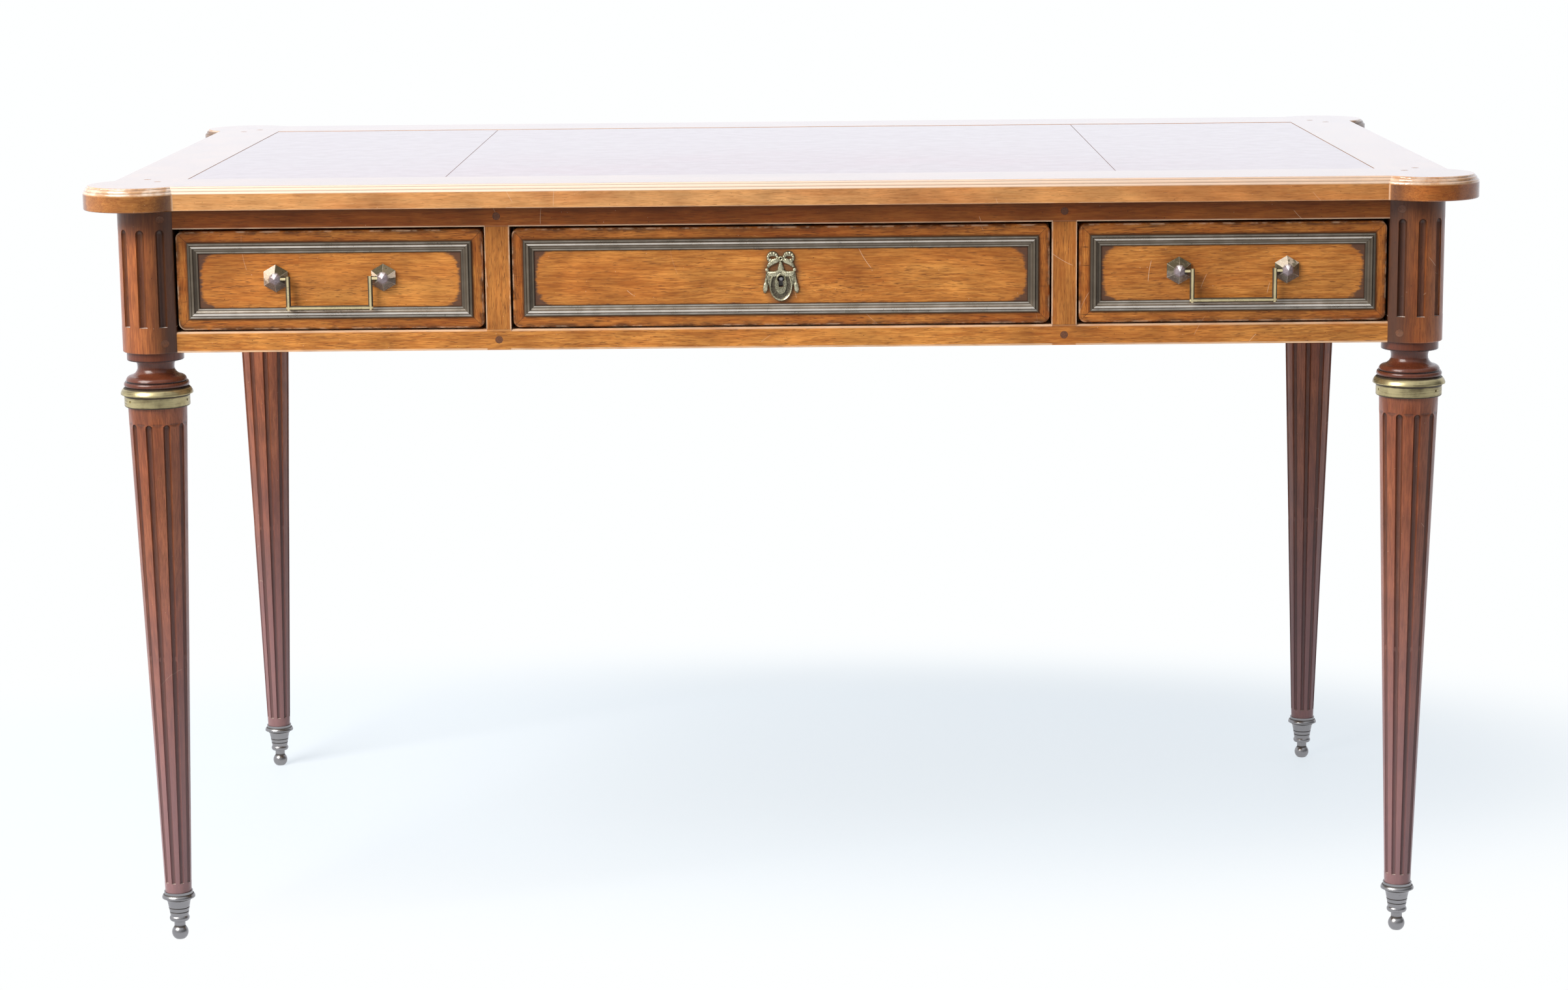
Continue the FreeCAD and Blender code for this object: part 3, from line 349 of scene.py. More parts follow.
topEdge = {
    "lines": [(0.7374, 0.0008, 0.4)],  # worn lower arris
    "darks": [(0.7552, 0.0005, 0.45), (0.7582, 0.0005, 0.4)],  # dirt and painted shade in the ledges between the rounds
    "face": (0.7515, 0.753),  # heights where the plain edge ends,
    "rounds": (0.7525, 0.7535),  # where the rounds begin
    "roundsEnd": (0.7597, 0.75995),  # and end
    "flat": (0.7594, 0.7599),  # and where the flat begins
    "earFoot": 0.5815,  # where the ears spring from the straight edges
    "earBack": 0.306,  # and from the ends
    "old": (0.1, 0.06, 0.038),  # old dark finish on the ears,
    "earSide": 0.6645,  # outside this,
    "backEar": 0.022,  # further in on the back ears
    "backFace": (0.7575, 0.759),  # and there up to this height
    "right": (0.93, 0.8, 0.62),  # painted shade: the edge grows darker and redder to the right
}


def topWood(name, along, seed):
    # Polished rail of the top: grain, moulded edge lines, and old dark finish left on the outer sides
    # of the ears
    material, shader, place = makeMaterial(name)
    color, rough, height = agedWood(place, grainVector(place, along, seed), "top", 0.4, 0.4, 0.1)
    x, inward, z = axes(vecCalc("ABSOLUTE", place))
    side, depth, _ = axes(place)
    foot, end = topEdge["earFoot"], topEdge["earBack"]
    flat = ramp(z, *topEdge["flat"])
    color = blend(flat, color, tinted(color, mahogany["flat"]))
    rounds = times(ramp(z, *topEdge["rounds"]), ramp(z, *topEdge["roundsEnd"], 1.0, 0.0))
    # painted light: the rounds are paler to the left, where the light falls
    rounds = times(rounds, ramp(side, -0.2, 0.65, 0.9, 0.55))
    patchy = cloud(place, (45.0, 45.0, 90.0), 4.0, 0.6)
    onEars = ramp(x, foot - 0.001, foot + 0.006, 0.45, 0.0)
    rounds = times(rounds, ramp(plus(patchy, onEars), 0.42, 0.66, 0.15, 1.0))
    color = blend(rounds, color, mahogany["rubbed"])
    color = heightMarks(place, color, topEdge["lines"], topEdge["darks"])
    below = ramp(z, *topEdge["face"], 1.0, 0.0)
    ear = times(ramp(x, foot - 0.001, foot + 0.004), below)
    ear = times(ear, ramp(inward, end - 0.004, end))
    brown, _, _ = agedWood(place, grainVector(place, "X", seed + 3.0), "ear", 0.5, 0.5, 0.35)
    color = blend(ear, color, brown)
    # painted shade, darker and redder towards the right of the edge
    ruddy = blend(ramp(side, -0.1, 0.6), (1.0, 1.0, 1.0), topEdge["right"])
    color = blend(below, color, tinted(color, ruddy))
    # painted shade on the ears' returns beside the straight edges
    earReturnShade = times(ramp(x, foot, foot + 0.001), ramp(x, foot + 0.004, foot + 0.022, 0.6, 0.0))
    seam = times(band(x, foot - 0.0006, 0.001), below)
    color = paint(color, (times(earReturnShade, below), grimeAndShade), (times(seam, 0.7), bare))
    rag = minus(cloud(place, (60.0, 160.0, 160.0), 4.0, 0.65), 0.5)
    behind = ramp(depth, end - 0.006, end)
    below = larger(below, times(behind, ramp(z, *topEdge["backFace"], 1.0, 0.0)))
    ragged = timesPlus(rag, 0.01, times(behind, topEdge["backEar"]))
    outside = plus(minus(x, topEdge["earSide"]), ragged)
    amount = ramp(behind, 0.0, 1.0, 0.45, 0.75)
    old = times(ramp(outside, -0.0015, 0.0015, 0.0, amount), below)
    color = blend(old, color, topEdge["old"])
    gloss = times(rough, ramp(flat, 0.0, 1.0, 0.55, 0.35))
    setShader(shader, color, gloss, height, 0.02, 0.0002,
              **{"Coat Weight": ramp(below, 0.0, 1.0, 1.0, 0.2), "Coat Roughness": mahogany["polish"]})
    return material


panelWear = {
    "strip": 0.01,  # width of the brass moulding
    "corner": 0.021,  # rounding of the rubbed field
    "endInset": 0.0012,  # old finish left at the ends of the field
    "rise": 0.002,  # the rubbing runs out under the strips above and below
    "rag": 0.013,  # unevenness of its edge
    "smoke": (0.072, 0.04, 0.031),
    "dusky": (0.72, 0.58, 0.5),  # tint of the borders
    "lock": Vector((0.0, 0.0, 0.6665)),  # old polish and painted shadow round the key plate: its middle,
    "lockReach": (1 / 0.0175, 0.0, 1 / 0.0275),  # and one over its half width and height
}


def panelRect(low, high):  # middle and half sizes of a frame, from its corners across and up
    middle = ((low[0] + high[0]) / 2, 0.0, (low[1] + high[1]) / 2)
    return middle, Vector(((high[0] - low[0]) / 2, 1.0, (high[1] - low[1]) / 2))


def panelWood(name, panels, face, seed, rim=None, along="X", lock=False):
    # Face with brass frames on it. panels are the corners of the frames, (low, high) along and up the face.
    # The field inside a frame is rubbed to a rounded rectangle, and old dark finish is left round it, only
    # on the outer face, whose distance from the middle of the desk is face
    material, shader, place = makeMaterial(name)
    x, y, z = axes(place)
    flat = join(y, x, z) if along == "Y" else place
    edge, field = 1.0, 1.0
    for low, high in panels:
        centre, half = panelRect(low, high)
        inset = (panelWear["strip"] + panelWear["endInset"], 0.0, panelWear["strip"] - panelWear["rise"])
        rubbed = half - Vector(inset)
        outer = useGroup(rectGroup, Vector=flat, Centre=centre, Half=half, Radius=0.0)
        inner = useGroup(rectGroup, Vector=flat, Centre=centre, Half=rubbed, Radius=panelWear["corner"])
        edge = smaller(edge, outer["Edge"])
        field = smaller(field, inner["Round"])
        mitre = outer["Mitre"]
    border = calc("GREATER_THAN", edge, -0.001)
    vector = grainVector(place, along, seed)
    if rim is not None:  # cross-banded ends of a drawer front
        ends = times(border, calc("GREATER_THAN", mitre, 0.0))
        upright = grainVector(place, "Z", seed + 5.0)
        vector = put("Mix", {0: ends, 4: vector, 5: upright}, data_type="VECTOR").outputs[1]
    color, rough, height = agedWood(place, vector, "front", 0.8, 0.6, 0.12)
    plain = color
    smoke = ramp(cloud(flat, (24.0, 24.0, 60.0), 4.0, 0.6), 0.35, 0.65, 0.45, 0.95)
    color = blend(times(smoke, border), color, tinted(color, panelWear["dusky"]))
    ragged = cloud(flat, (70.0, 70.0, 230.0), 5.0, 0.7)
    reach = timesPlus(minus(ragged, 0.5), panelWear["rag"], field)
    inside = minus(1.0, border)
    halo = times(ramp(reach, -0.013, -0.001, 0.0, 0.32), inside)
    old = times(ramp(reach, -0.0032, 0.0006, 0.0, 0.88), inside)
    # dirt, with painted shade, along the foot and the outer side of the brass strips
    foot = times(band(edge, -panelWear["strip"], 0.0012), 0.7)
    beside = times(ramp(edge, 0.0, 0.0028, 0.8, 0.0), border)
    flecks = ramp(cloud(flat, (26.0, 26.0, 420.0), 3.0, 0.6), 0.62, 0.7, 0.0, 0.75)
    near = times(times(flecks, border), ramp(edge, 0.004, 0.012, 1.0, 0.35))
    color = paint(color, (halo, mahogany["front"][1]), (old, panelWear["smoke"]), (foot, grimeAndShade),
                  (larger(beside, near), grimeAndShade))
    if rim is not None:
        joint = times(band(mitre, 0.0, 0.0006), border)
        low, high = rim
        outside = useGroup(rectGroup, Vector=place, Centre=(low + high) / 2, Half=(high - low) / 2,
                           Radius=0.007)
        # dirt and painted shade along the outer edges of the drawer front, by the gaps
        edgeDirtAndShade = ramp(cloud(place, (40.0, 40.0, 90.0), 4.0, 0.65), 0.4, 0.62, 0.1, 0.75)
        edgeDirtAndShade = times(ramp(outside["Round"], -0.006, -0.0012), edgeDirtAndShade)
        chipped = ramp(cloud(place, 70.0, 4.0, 0.6), 0.45, 0.62, 0.0, 0.55)
        worn = times(ramp(outside["Round"], -0.002, -0.0006), chipped)
        color = paint(color, (times(joint, 0.75), grimeAndShade), (edgeDirtAndShade, grimeAndShade), (worn, bare))
    if lock:
        # old polish and painted shadow round the key plate
        ring = awayFrom(place, panelWear["lock"], panelWear["lockReach"])
        color = blend(ramp(ring, 0.75, 1.25, 0.6, 0.0), color, panelWear["smoke"])
    out = positive(x if along == "Y" else y)
    color = blend(ramp(out, face - 0.0045, face - 0.002), plain, color)
    waxed(shader, color, rough, height)
    return material


legs = {
    "axis": (0.611, 0.338),
    "footZ": 0.0498, "footR": 0.013,
    "topZ": 0.543, "topR": 0.0286,
    "postZ": 0.597, "postR": 0.031,
    "ledges": (0.0596, 0.6225),  # feet of the flutes
    "heads": (0.527, 0.7175),  # and their heads
    "grooves": ((0.589, 0.0014), (0.5676, 0.0012), (0.5628, 0.0016)),  # painted shade in the grooves of the neck: heights, half widths
    "floorSheen": (0.28, 0.165, 0.18),  # painted reflection of the floor greys the legs towards the feet
    "shade": (0.7, 0.737),  # painted shade under the top darkens the posts between these heights
    "inner": (0.622, 0.59),  # and dirt with painted shade between these distances from the middle, towards the drawers
    "dirt": (0.035, 0.018, 0.014),  # dirt and painted shade in the flutes
    # darker neck under the post: its own tone, with painted shade
    "neck": (0.09, 0.022, 0.011),
    # painted shade in the grooves of the neck
    "groove": (0.02, 0.008, 0.006),
    "dustAndHighlight": (0.62, 0.52, 0.46),  # dust, with a painted highlight, on the feet of the flutes
}


def legWood():
    # Upright grain; the depth below the turned surface, R(z) - r about the leg's axis, darkens the flutes
    # with dirt and painted shade
    material, shader, place = makeMaterial("turnedMahogany")
    vector = grainVector(place, "Z", 2.0)
    color, rough, height = agedWood(place, vector, "leg", 0.6, 0.4, 0.22)
    upper, _, _ = agedWood(place, vector, "post", 0.6, 0.5, 0.25)
    x, y, z = axes(vecCalc("ABSOLUTE", place))
    radius = hypot(minus(x, legs["axis"][0]), minus(y, legs["axis"][1]))
    sizes = (z, legs["footZ"], legs["topZ"], legs["footR"], legs["topR"])
    shaft = put("MapRange", dict(enumerate(sizes)), clamp=False).outputs[0]
    onPost = calc("GREATER_THAN", z, legs["postZ"])
    onShaft = calc("LESS_THAN", z, legs["topZ"])
    skin = plus(times(onPost, legs["postR"]), times(onShaft, shaft))
    depth = minus(skin, radius)
    # painted shade under the top, and dirt with painted shade on the posts' inner sides
    shade = ramp(z, *legs["shade"], 0.0, 0.85)
    postShadeAndDirt = times(larger(ramp(x, *legs["inner"], 0.0, 0.85), shade), onPost)
    deep = ramp(depth, 0.0006, 0.0024, 0.0, 0.55)
    lip = times(band(depth, 0.0007, 0.0004), 0.5)
    # painted shade at the heads of the flutes
    heads = larger(*[band(z, level, 0.018) for level in legs["heads"]])
    heads = times(heads, ramp(depth, 0.0005, 0.0012, 0.0, 0.75))
    dirty = larger(larger(deep, lip), heads)
    fluted = 0.0
    for foot, head in zip(legs["ledges"], legs["heads"]):
        span = times(calc("GREATER_THAN", z, foot - 0.0008), calc("LESS_THAN", z, head + 0.001))
        fluted = larger(fluted, span)
    # the neck darkened, partly as painted shade under the post, and painted shade in its grooves
    turnings = minus(1.0, larger(onPost, onShaft))
    grooves = [(times(band(z, level, width), times(turnings, 0.9)), legs["groove"])
               for level, width in legs["grooves"]]
    rough = minus(rough, times(turnings, 0.15))
    ledge = larger(*[band(z, level, 0.0006) for level in legs["ledges"]])
    # dust and painted highlight on the upward feet of the flutes
    dustAndHighlight = times(ledge, ramp(depth, 0.0002, 0.0006))
    # painted floor reflection low on the legs, painted shade on the posts and neck, dirt and dust
    color = paint(color, (ramp(z, 0.48, 0.08, 0.0, 0.75), legs["floorSheen"]), (onPost, upper),
                  (postShadeAndDirt, grimeAndShade), (times(dirty, fluted), legs["dirt"]),
                  (times(turnings, 0.75), legs["neck"]), *grooves, (dustAndHighlight, legs["dustAndHighlight"]))
    setShader(shader, color, rough, height, 0.2, 0.0003,
              **{"Specular IOR Level": mahogany["shine"], "Coat Weight": 0.4, "Coat Roughness": 0.2})
    return material


oak = {
    "box": ((0.52, 0.36, 0.2), (0.34, 0.21, 0.105)),  # pale and deep tones of the drawer boxes and ways
    "ground": ((0.85, 0.72, 0.66), (0.7, 0.56, 0.5)),  # and of the panel under the leather, paled as painted light in the seams between the hides
    "pore": (0.13, 0.075, 0.035),
    "stain": (0.12, 0.07, 0.035),
}
pegs = {
    "frame": ((0.17, 0.06, 0.022), (0.1, 0.036, 0.014)),
    "top": ((0.58, 0.4, 0.3), (0.4, 0.26, 0.19)),
}


def liningWood(name, along, seed, tones="box"):
    # Bare oak of the drawer boxes, the ways and the panel of the top
    material, shader, place = makeMaterial(name)
    pale, deep = oak[tones]
    vector = grainVector(place, along, seed)
    grain = useGroup(grainGroup, Vector=vector, Pale=pale, Deep=deep, Pore=oak["pore"], Pores=0.6)
    marks = useGroup(scuffGroup, Vector=place, Scuffs=0.2, Stains=0.5)
    color = blend(marks["Stain"], grain["Color"], oak["stain"])
    setShader(shader, color, plus(grain["Roughness"], 0.25), grain["Height"], 0.3, 0.0004)
    return material


def pegWood(name, pale, deep):
    # End grain: a fine cloud between two tones
    material, shader, place = makeMaterial(name)
    fine = cloud(place, 900.0, 3.0)
    color = blend(ramp(fine, 0.35, 0.65), pale, deep)
    setShader(shader, color, ramp(fine, 0.3, 0.7, 0.35, 0.55), fine, 0.2, 0.0003)
    return material


drawers = ("left", "centre", "right")
frames = {}  # corners of the brass frame on each drawer, across and up
for drawer in drawers:
    low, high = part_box(drawer + "_drawer_moulding")
    frames[drawer] = ((low[0], low[2]), (high[0], high[2]))
frameFoot, frameTop = frames["left"][0][1], frames["left"][1][1]
endReach = 0.29993  # half length of the frames on the end aprons
# Pale and dark heights of the front frame: height, half width, amount
# pale arrises of the rails: wear, with a painted highlight where they catch the light
railLines = [(0.6167, 0.0022, 0.8), (0.5978, 0.0015, 0.8), (0.7173, 0.0014, 0.9)]
# painted shadow of the top's overhang across the top rail
shadeDarks = [(0.737, 0.012, 0.65)]
stileDarks = [(0.617, 0.0005, 0.8), (0.717, 0.0005, 0.8)]
stileSides = ((stileMiddle - stileHalf, 0.9), (stileMiddle + stileHalf, 0.7))
backFace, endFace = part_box("back_apron")[1][1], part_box("right_apron")[1][0]
endFrame = ((-endReach, frameFoot), (endReach, frameTop))
corners = ("front_left", "front_right", "back_left", "back_right")
finished = set()


def finish(material, *names):  # gives a material to CAD nodes
    finished.update(names)
    for name in names:
        nodes[name].data.materials.clear()
        nodes[name].data.materials.append(material)


oakAcross = liningWood("oakAcross", "X", 15.0)
oakAlong = liningWood("oakAlong", "Y", 17.0)
for drawer, seed in zip(drawers, (1.3, 4.1, 7.7)):
    part = drawer + "_drawer_"
    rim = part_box(drawer + "_drawer_front")
    wood = panelWood(drawer + "FrontMahogany", [frames[drawer]], -rim[0][1], seed, rim,
                     lock=drawer == "centre")
    finish(wood, part + "front")
    finish(oakAlong, part + "sides")
    finish(oakAcross, part + "back", part + "bottom")
finish(frameWood("railMahogany", "X", 3.3, "front", railLines), "front_bottom_rail")
finish(frameWood("shadedRailMahogany", "X", 8.3, "shade", railLines, shadeDarks), "front_top_rail")
finish(frameWood("stileMahogany", "Z", 6.1, "stile", (), stileDarks, stileSides), "left_stile", "right_stile")
finish(panelWood("backApronMahogany", list(frames.values()), backFace, 9.2), "back_apron")
finish(panelWood("endApronMahogany", [endFrame], endFace, 5.3, along="Y"), "left_apron", "right_apron")
finish(topWood("topLongMahogany", "X", 11.4), "top_front_rail", "top_back_rail")
finish(topWood("topEndMahogany", "Y", 13.9), "top_left_rail", "top_right_rail")
finish(legWood(), *[corner + "_leg" for corner in corners])
finish(oakAlong, "drawer_runners", "drawer_guides", "drawer_kickers")
finish(oakAcross, "drawer_stops")
finish(liningWood("oakGround", "X", 19.0, "ground"), "top_ground")
finish(pegWood("framePegEndGrain", *pegs["frame"]), "frame_pegs")
finish(pegWood("topPegEndGrain", *pegs["top"]), "top_pegs")
print("wood made")


# Leather

leather = {
    "hide": (0.215, 0.03, 0.06),
    "worn": (0.36, 0.09, 0.145),
    "sitter": (0.03, -0.29, 0.76), "reach": (1.5, 2.6, 0.0),  # faded and dulled here by the sitter's arms
    "crease": (0.06, 0.008, 0.012),
    "cut": (0.8, 0.68, 0.68),  # painted light on the cut sides of the hides in the seams,
    "skin": (0.7594, 0.7598),  # below these heights
    "polish": 0.06,  # coat roughness
    "grain": 700.0,
    "creases": 55.0,
}


def hideMaterial():
    # Pebbled hide: cell distance gives the grain, and a slow cloud the faded places, most near the sitter
    material, shader, place = makeMaterial("burgundyHide")
    pebbles = put("TexVoronoi", {"Vector": place, "Scale": leather["grain"]}).outputs["Distance"]
    creases = cloud(place, leather["creases"], 5.0, 0.65)
    faded = ramp(cloud(place, (7.0, 9.0, 7.0), 6.0, 0.7), 0.38, 0.72)
    arms = ramp(awayFrom(place, leather["sitter"], leather["reach"]), 0.15, 1.05, 1.0, 0.0)
    faded = times(faded, ramp(arms, 0.0, 1.0, 0.25, 1.0))
    faded = timesPlus(arms, 0.25, faded, clamp=True)
    color = paint(leather["hide"], (faded, leather["worn"]),
                  (ramp(creases, 0.55, 0.75, 0.0, 0.5), leather["crease"]),
                  # painted light on the sides of the hides in the seams
                  (ramp(axes(place)[2], *leather["skin"], 1.0, 0.0), leather["cut"]))
    rough = plus(ramp(creases, 0.3, 0.7, 0.15, 0.22), times(faded, 0.04))
    height = plus(times(pebbles, 0.6), creases)
    setShader(shader, color, rough, height, 0.015, 0.0002,
              **{"Coat Weight": ramp(arms, 0.0, 1.0, 1.0, 0.92), "Coat Roughness": leather["polish"]})
    return material


finish(hideMaterial(), "leather_left", "leather_centre", "leather_right")
print("leather made")


# Metal

brass = {
    "strip": ((0.82, 0.765, 0.68), (0.165, 0.13, 0.088)),  # clean and dull tones of the mouldings
    "handle": ((0.86, 0.74, 0.43), (0.29, 0.225, 0.105)),
    "plate": ((0.56, 0.53, 0.36), (0.185, 0.165, 0.105)),
    "collar": ((0.5, 0.43, 0.225), (0.2, 0.16, 0.08)),
    "bronze": ((0.3, 0.295, 0.295), (0.16, 0.155, 0.155)),
    "dirt": (0.05, 0.036, 0.022),
    "steel": (0.42, 0.41, 0.4),
    "rust": (0.13, 0.085, 0.055),
}


def metalMaterial(name, tones, age, proud, metal=1.0):
    # proud gives, for a place, how far the surface stands out, from 0 in the hollows to 1 on the crests
    material, shader, place = makeMaterial(name)
    clean, dull = brass[tones]
    aged = useGroup(brassGroup, Vector=place, Proud=proud(place), Clean=clean, Dull=dull,
                    Dirt=brass["dirt"], Age=age)
    setShader(shader, aged["Color"], aged["Roughness"], aged["Height"], 0.06, 0.0002,
              Metallic=times(aged["Metal"], metal))
    return material


# Section of a brass strip: share of its width from the outer edge, and how proud it stands there
stripSection = (
    (0.0, 0.0), (0.05, 0.25), (0.12, 0.55), (0.2, 0.5), (0.235, 0.15), (0.29, 0.35), (0.34, 0.8), (0.4, 1.0),
    (0.47, 0.75), (0.53, 0.3), (0.68, 0.45), (0.78, 0.1), (0.86, 0.45), (0.93, 0.7), (0.98, 0.05))
uprightTone = 0.42  # painted shade: the uprights of the frames are darker


def stripProud(place, ends=()):
    # How proud a brass strip stands, by the distance in from its outer edge, on the frames of the drawers
    # and on any frames of the end aprons, with a painted highlight on the bottom strips and painted shade on
    # the uprights
    x, y, z = axes(place)
    edge, upright = 1.0, 0.0
    sets = [(place, pair) for pair in frames.values()] + [(join(y, x, z), pair) for pair in ends]
    for flat, (low, high) in sets:
        centre, half = panelRect(low, high)
        rect = useGroup(rectGroup, Vector=flat, Centre=centre, Half=half, Radius=0.0)
        edge = smaller(edge, rect["Edge"])
        within = calc("LESS_THAN", rect["Edge"], 0.001)
        beside = times(within, ramp(rect["Mitre"], -0.0003, 0.0003))
        upright = larger(upright, beside)
    section = put("FloatCurve", {"Value": times(edge, -1.0 / panelWear["strip"])})
    curve = section.mapping.curves[0]
    for share, stands in stripSection[1:-1]:
        curve.points.new(share, stands)
    curve.points[0].location = stripSection[0]
    curve.points[-1].location = stripSection[-1]
    for point in curve.points:
        point.handle_type = "VECTOR"
    section.mapping.update()
    # painted highlight: the bottom strips, facing up, stand out brighter
    lower = ramp(z, frameFoot + 0.008, frameFoot + 0.014, 0.15, 0.0)
    proud = plus(section.outputs[0], lower)
    return times(proud, ramp(upright, 0.0, 1.0, 1.0, uprightTone))


def frontProud(place):  # height over the faces of the drawers, broken by fine engraving
    lines = minus(cloud(place, (1100.0, 300.0, 700.0)), 0.5)
    return timesPlus(lines, 1.6, ramp(axes(place)[1], -0.3551, -0.358, 0.05, 0.95))


def clearOf(levels):  # 0 at the named heights, where dirt gathers, and 1 elsewhere
    def proud(place):
        z = axes(place)[2]
        dirty = 0.0
        for level, width in levels:
            dirty = larger(dirty, band(z, level, width))
        return minus(1.0, dirty)
    return proud


collarDirt = ((0.5434, 0.0014), (0.554, 0.0018), (0.5615, 0.0012))  # heights and half widths


def collarProud(place):  # dirt at the edges, broken by turning lines and blotches
    lines = minus(cloud(place, (35.0, 35.0, 1100.0), 3.0), 0.58)
    blotches = minus(cloud(place, 75.0, 4.0, 0.6), 0.55)
    marks = times(plus(lines, blotches), 1.3)
    return plus(clearOf(collarDirt)(place), marks)


handles = {
    "middle": 0.4358, "spread": 0.052, "height": 0.6687,  # places of the knobs
    "arm": 0.0397, "drop": 0.0283,  # bail, from its axis to the middles of its bars
    # painted reflections of the facets: dark, mid and highlight tones picked side by side
    "dark": (0.13, 0.115, 0.07), "mid": (0.32, 0.285, 0.19), "highlight": (0.95, 0.87, 0.7),
    "below": (0.21, 0.185, 0.175),  # painted shade on the sides that face down
    # painted reflection of the tip, with a painted highlight on its upper face
    "tip": 0.0058, "tipReflection": (0.3, 0.245, 0.255), "tipHighlight": (0.96, 0.93, 0.96),
}


def bailProud(place):  # painted highlight along the middle of the bar, and dirt with painted shade at its edges
    x, _, z = axes(place)
    aside = positive(minus(positive(x), handles["middle"]))
    arm = positive(minus(aside, handles["arm"]))
    foot = positive(minus(z, handles["height"] - handles["drop"]))
    pin = positive(minus(z, handles["height"]))
    pin = plus(pin, ramp(aside, handles["arm"], handles["arm"] + 0.002, 1.0, 0.0))
    off = smaller(smaller(arm, foot), pin)
    worn = cloud(place, 150.0, 3.0)
    return minus(ramp(off, 0.0004, 0.0019, 1.25, 0.1), times(worn, 0.5))


def knobMetal():
    # Each of a knob's six sides has a painted reflection of its own, with painted shade below and painted
    # highlights on the ridges, and the tip has a painted reflection with a painted highlight on its upper
    # face
    material, shader, place = makeMaterial("knobBrass")
    x, _, z = axes(place)
    aside = minus(positive(x), handles["middle"])
    half = calc("SIGN", aside)
    across = minus(aside, times(half, handles["spread"]))
    up = minus(z, handles["height"])
    turn = timesPlus(calc("ARCTAN2", up, across), 3.0 / np.pi, 20.5)
    mark = plus(times(half, 9.0), times(calc("SIGN", x), 27.0))
    mark = plus(mark, calc("FLOOR", turn))
    chance = put("TexWhiteNoise", {"W": mark}, noise_dimensions="1D").outputs["Value"]
    chance = plus(chance, ramp(up, -0.002, 0.008, -0.15, 0.15))
    patchy = minus(cloud(place, 260.0, 3.0), 0.5)
    chance = timesPlus(patchy, 0.5, chance)
    ridge = positive(minus(calc("FRACT", turn), 0.5))
    tip = ramp(hypot(across, up), handles["tip"] - 0.0012, handles["tip"] + 0.0008, 1.0, 0.0)
    face = ramp(minus(up, times(positive(across), 1.7)), 0.0, 0.0006)
    color = paint(handles["dark"], (ramp(chance, 0.25, 0.55), handles["mid"]),
                  (ramp(chance, 0.66, 0.78), handles["highlight"]),
                  (ramp(up, 0.002, -0.005, 0.0, 0.75), handles["below"]),
                  (ramp(ridge, 0.47, 0.5, 0.0, 0.5), handles["highlight"]), (tip, handles["tipReflection"]),
                  (times(face, tip), handles["tipHighlight"]),
                  (ramp(patchy, 0.12, 0.22, 0.0, 0.6), brass["dirt"]))
    setShader(shader, color, ramp(patchy, -0.2, 0.2, 0.16, 0.32), Metallic=0.45)
    return material


def lockSteel():
    # Dull steel with brown spots
    material, shader, place = makeMaterial("lockSteel")
    spots = cloud(place, 240.0, 4.0, 0.6)
    color = blend(ramp(spots, 0.5, 0.68), brass["steel"], brass["rust"])
    setShader(shader, color, ramp(spots, 0.3, 0.7, 0.26, 0.5), spots, 0.15, 0.0002, Metallic=1.0)
    return material


sabotDirt = ((0.0327, 0.0009), (0.0283, 0.0009), (0.013, 0.002), (0.047, 0.001), (0.042, 0.0014))
plateBrass = metalMaterial("plateBrass", "plate", 1.0, frontProud, 0.6)
finish(plateBrass, "escutcheon")
finish(metalMaterial("mouldingBrass", "strip", 0.95, stripProud, 0.6),
       *[drawer + "_drawer_moulding" for drawer in drawers])
apronProud = partial(stripProud, ends=[endFrame])  # the frames on the back are as on the drawers
finish(metalMaterial("apronBrass", "strip", 0.9, apronProud, 0.6), "apron_mouldings")
finish(metalMaterial("handleBrass", "handle", 1.0, bailProud, 0.7), "left_bail", "right_bail")
finish(knobMetal(), "left_handle_knobs", "right_handle_knobs")
finish(metalMaterial("collarBrass", "collar", 1.0, collarProud, 0.75), "collar_pins",
       *[corner + "_collar" for corner in corners])
finish(metalMaterial("sabotBronze", "bronze", 0.8, clearOf(sabotDirt)),
       *[corner + "_sabot" for corner in corners])
finish(lockSteel(), "left_handle_nuts", "right_handle_nuts", "lock_case", "lock_bolt", "lock_pin")
print("metal made")
print("finishes on", len(finished), "of", len(nodes), "nodes")


# Key plate: a bow of ribbon over two swags, a shield with the keyhole, and a husk hanging at each side

keyPlate = {
    "keyDrop": 0.0027,  # keyhole below the middle of the drawer front
    "eye": 0.0035, "slot": (0.0021, 0.0078),  # keyhole: radius, half width and depth of its slot
    "rayDrop": 0.001,  # the shield's rays start this far below the keyhole
    "outer": (-0.0062, (0.0115, 0.0157)),  # oval of the shield: height of its middle, half sizes
    "inner": (-0.0046, (0.0061, 0.0107)),  # oval of the raised field
    # rings of the bow: place, half sizes of hole and rim, height, ribs
    "loop": ((0.0077, 0.0207), (0.0034, 0.0015), (0.006, 0.0063), 0.002, 11),
    "knot": ((0.0, 0.0198), (0.0009, 0.0009), (0.0025, 0.0025), 0.0032, 0),
    "rays": 96, "steps": 40,  # points round the shield, and along a strand
    "sharp": 50.0,  # edges over this angle are sharp
}
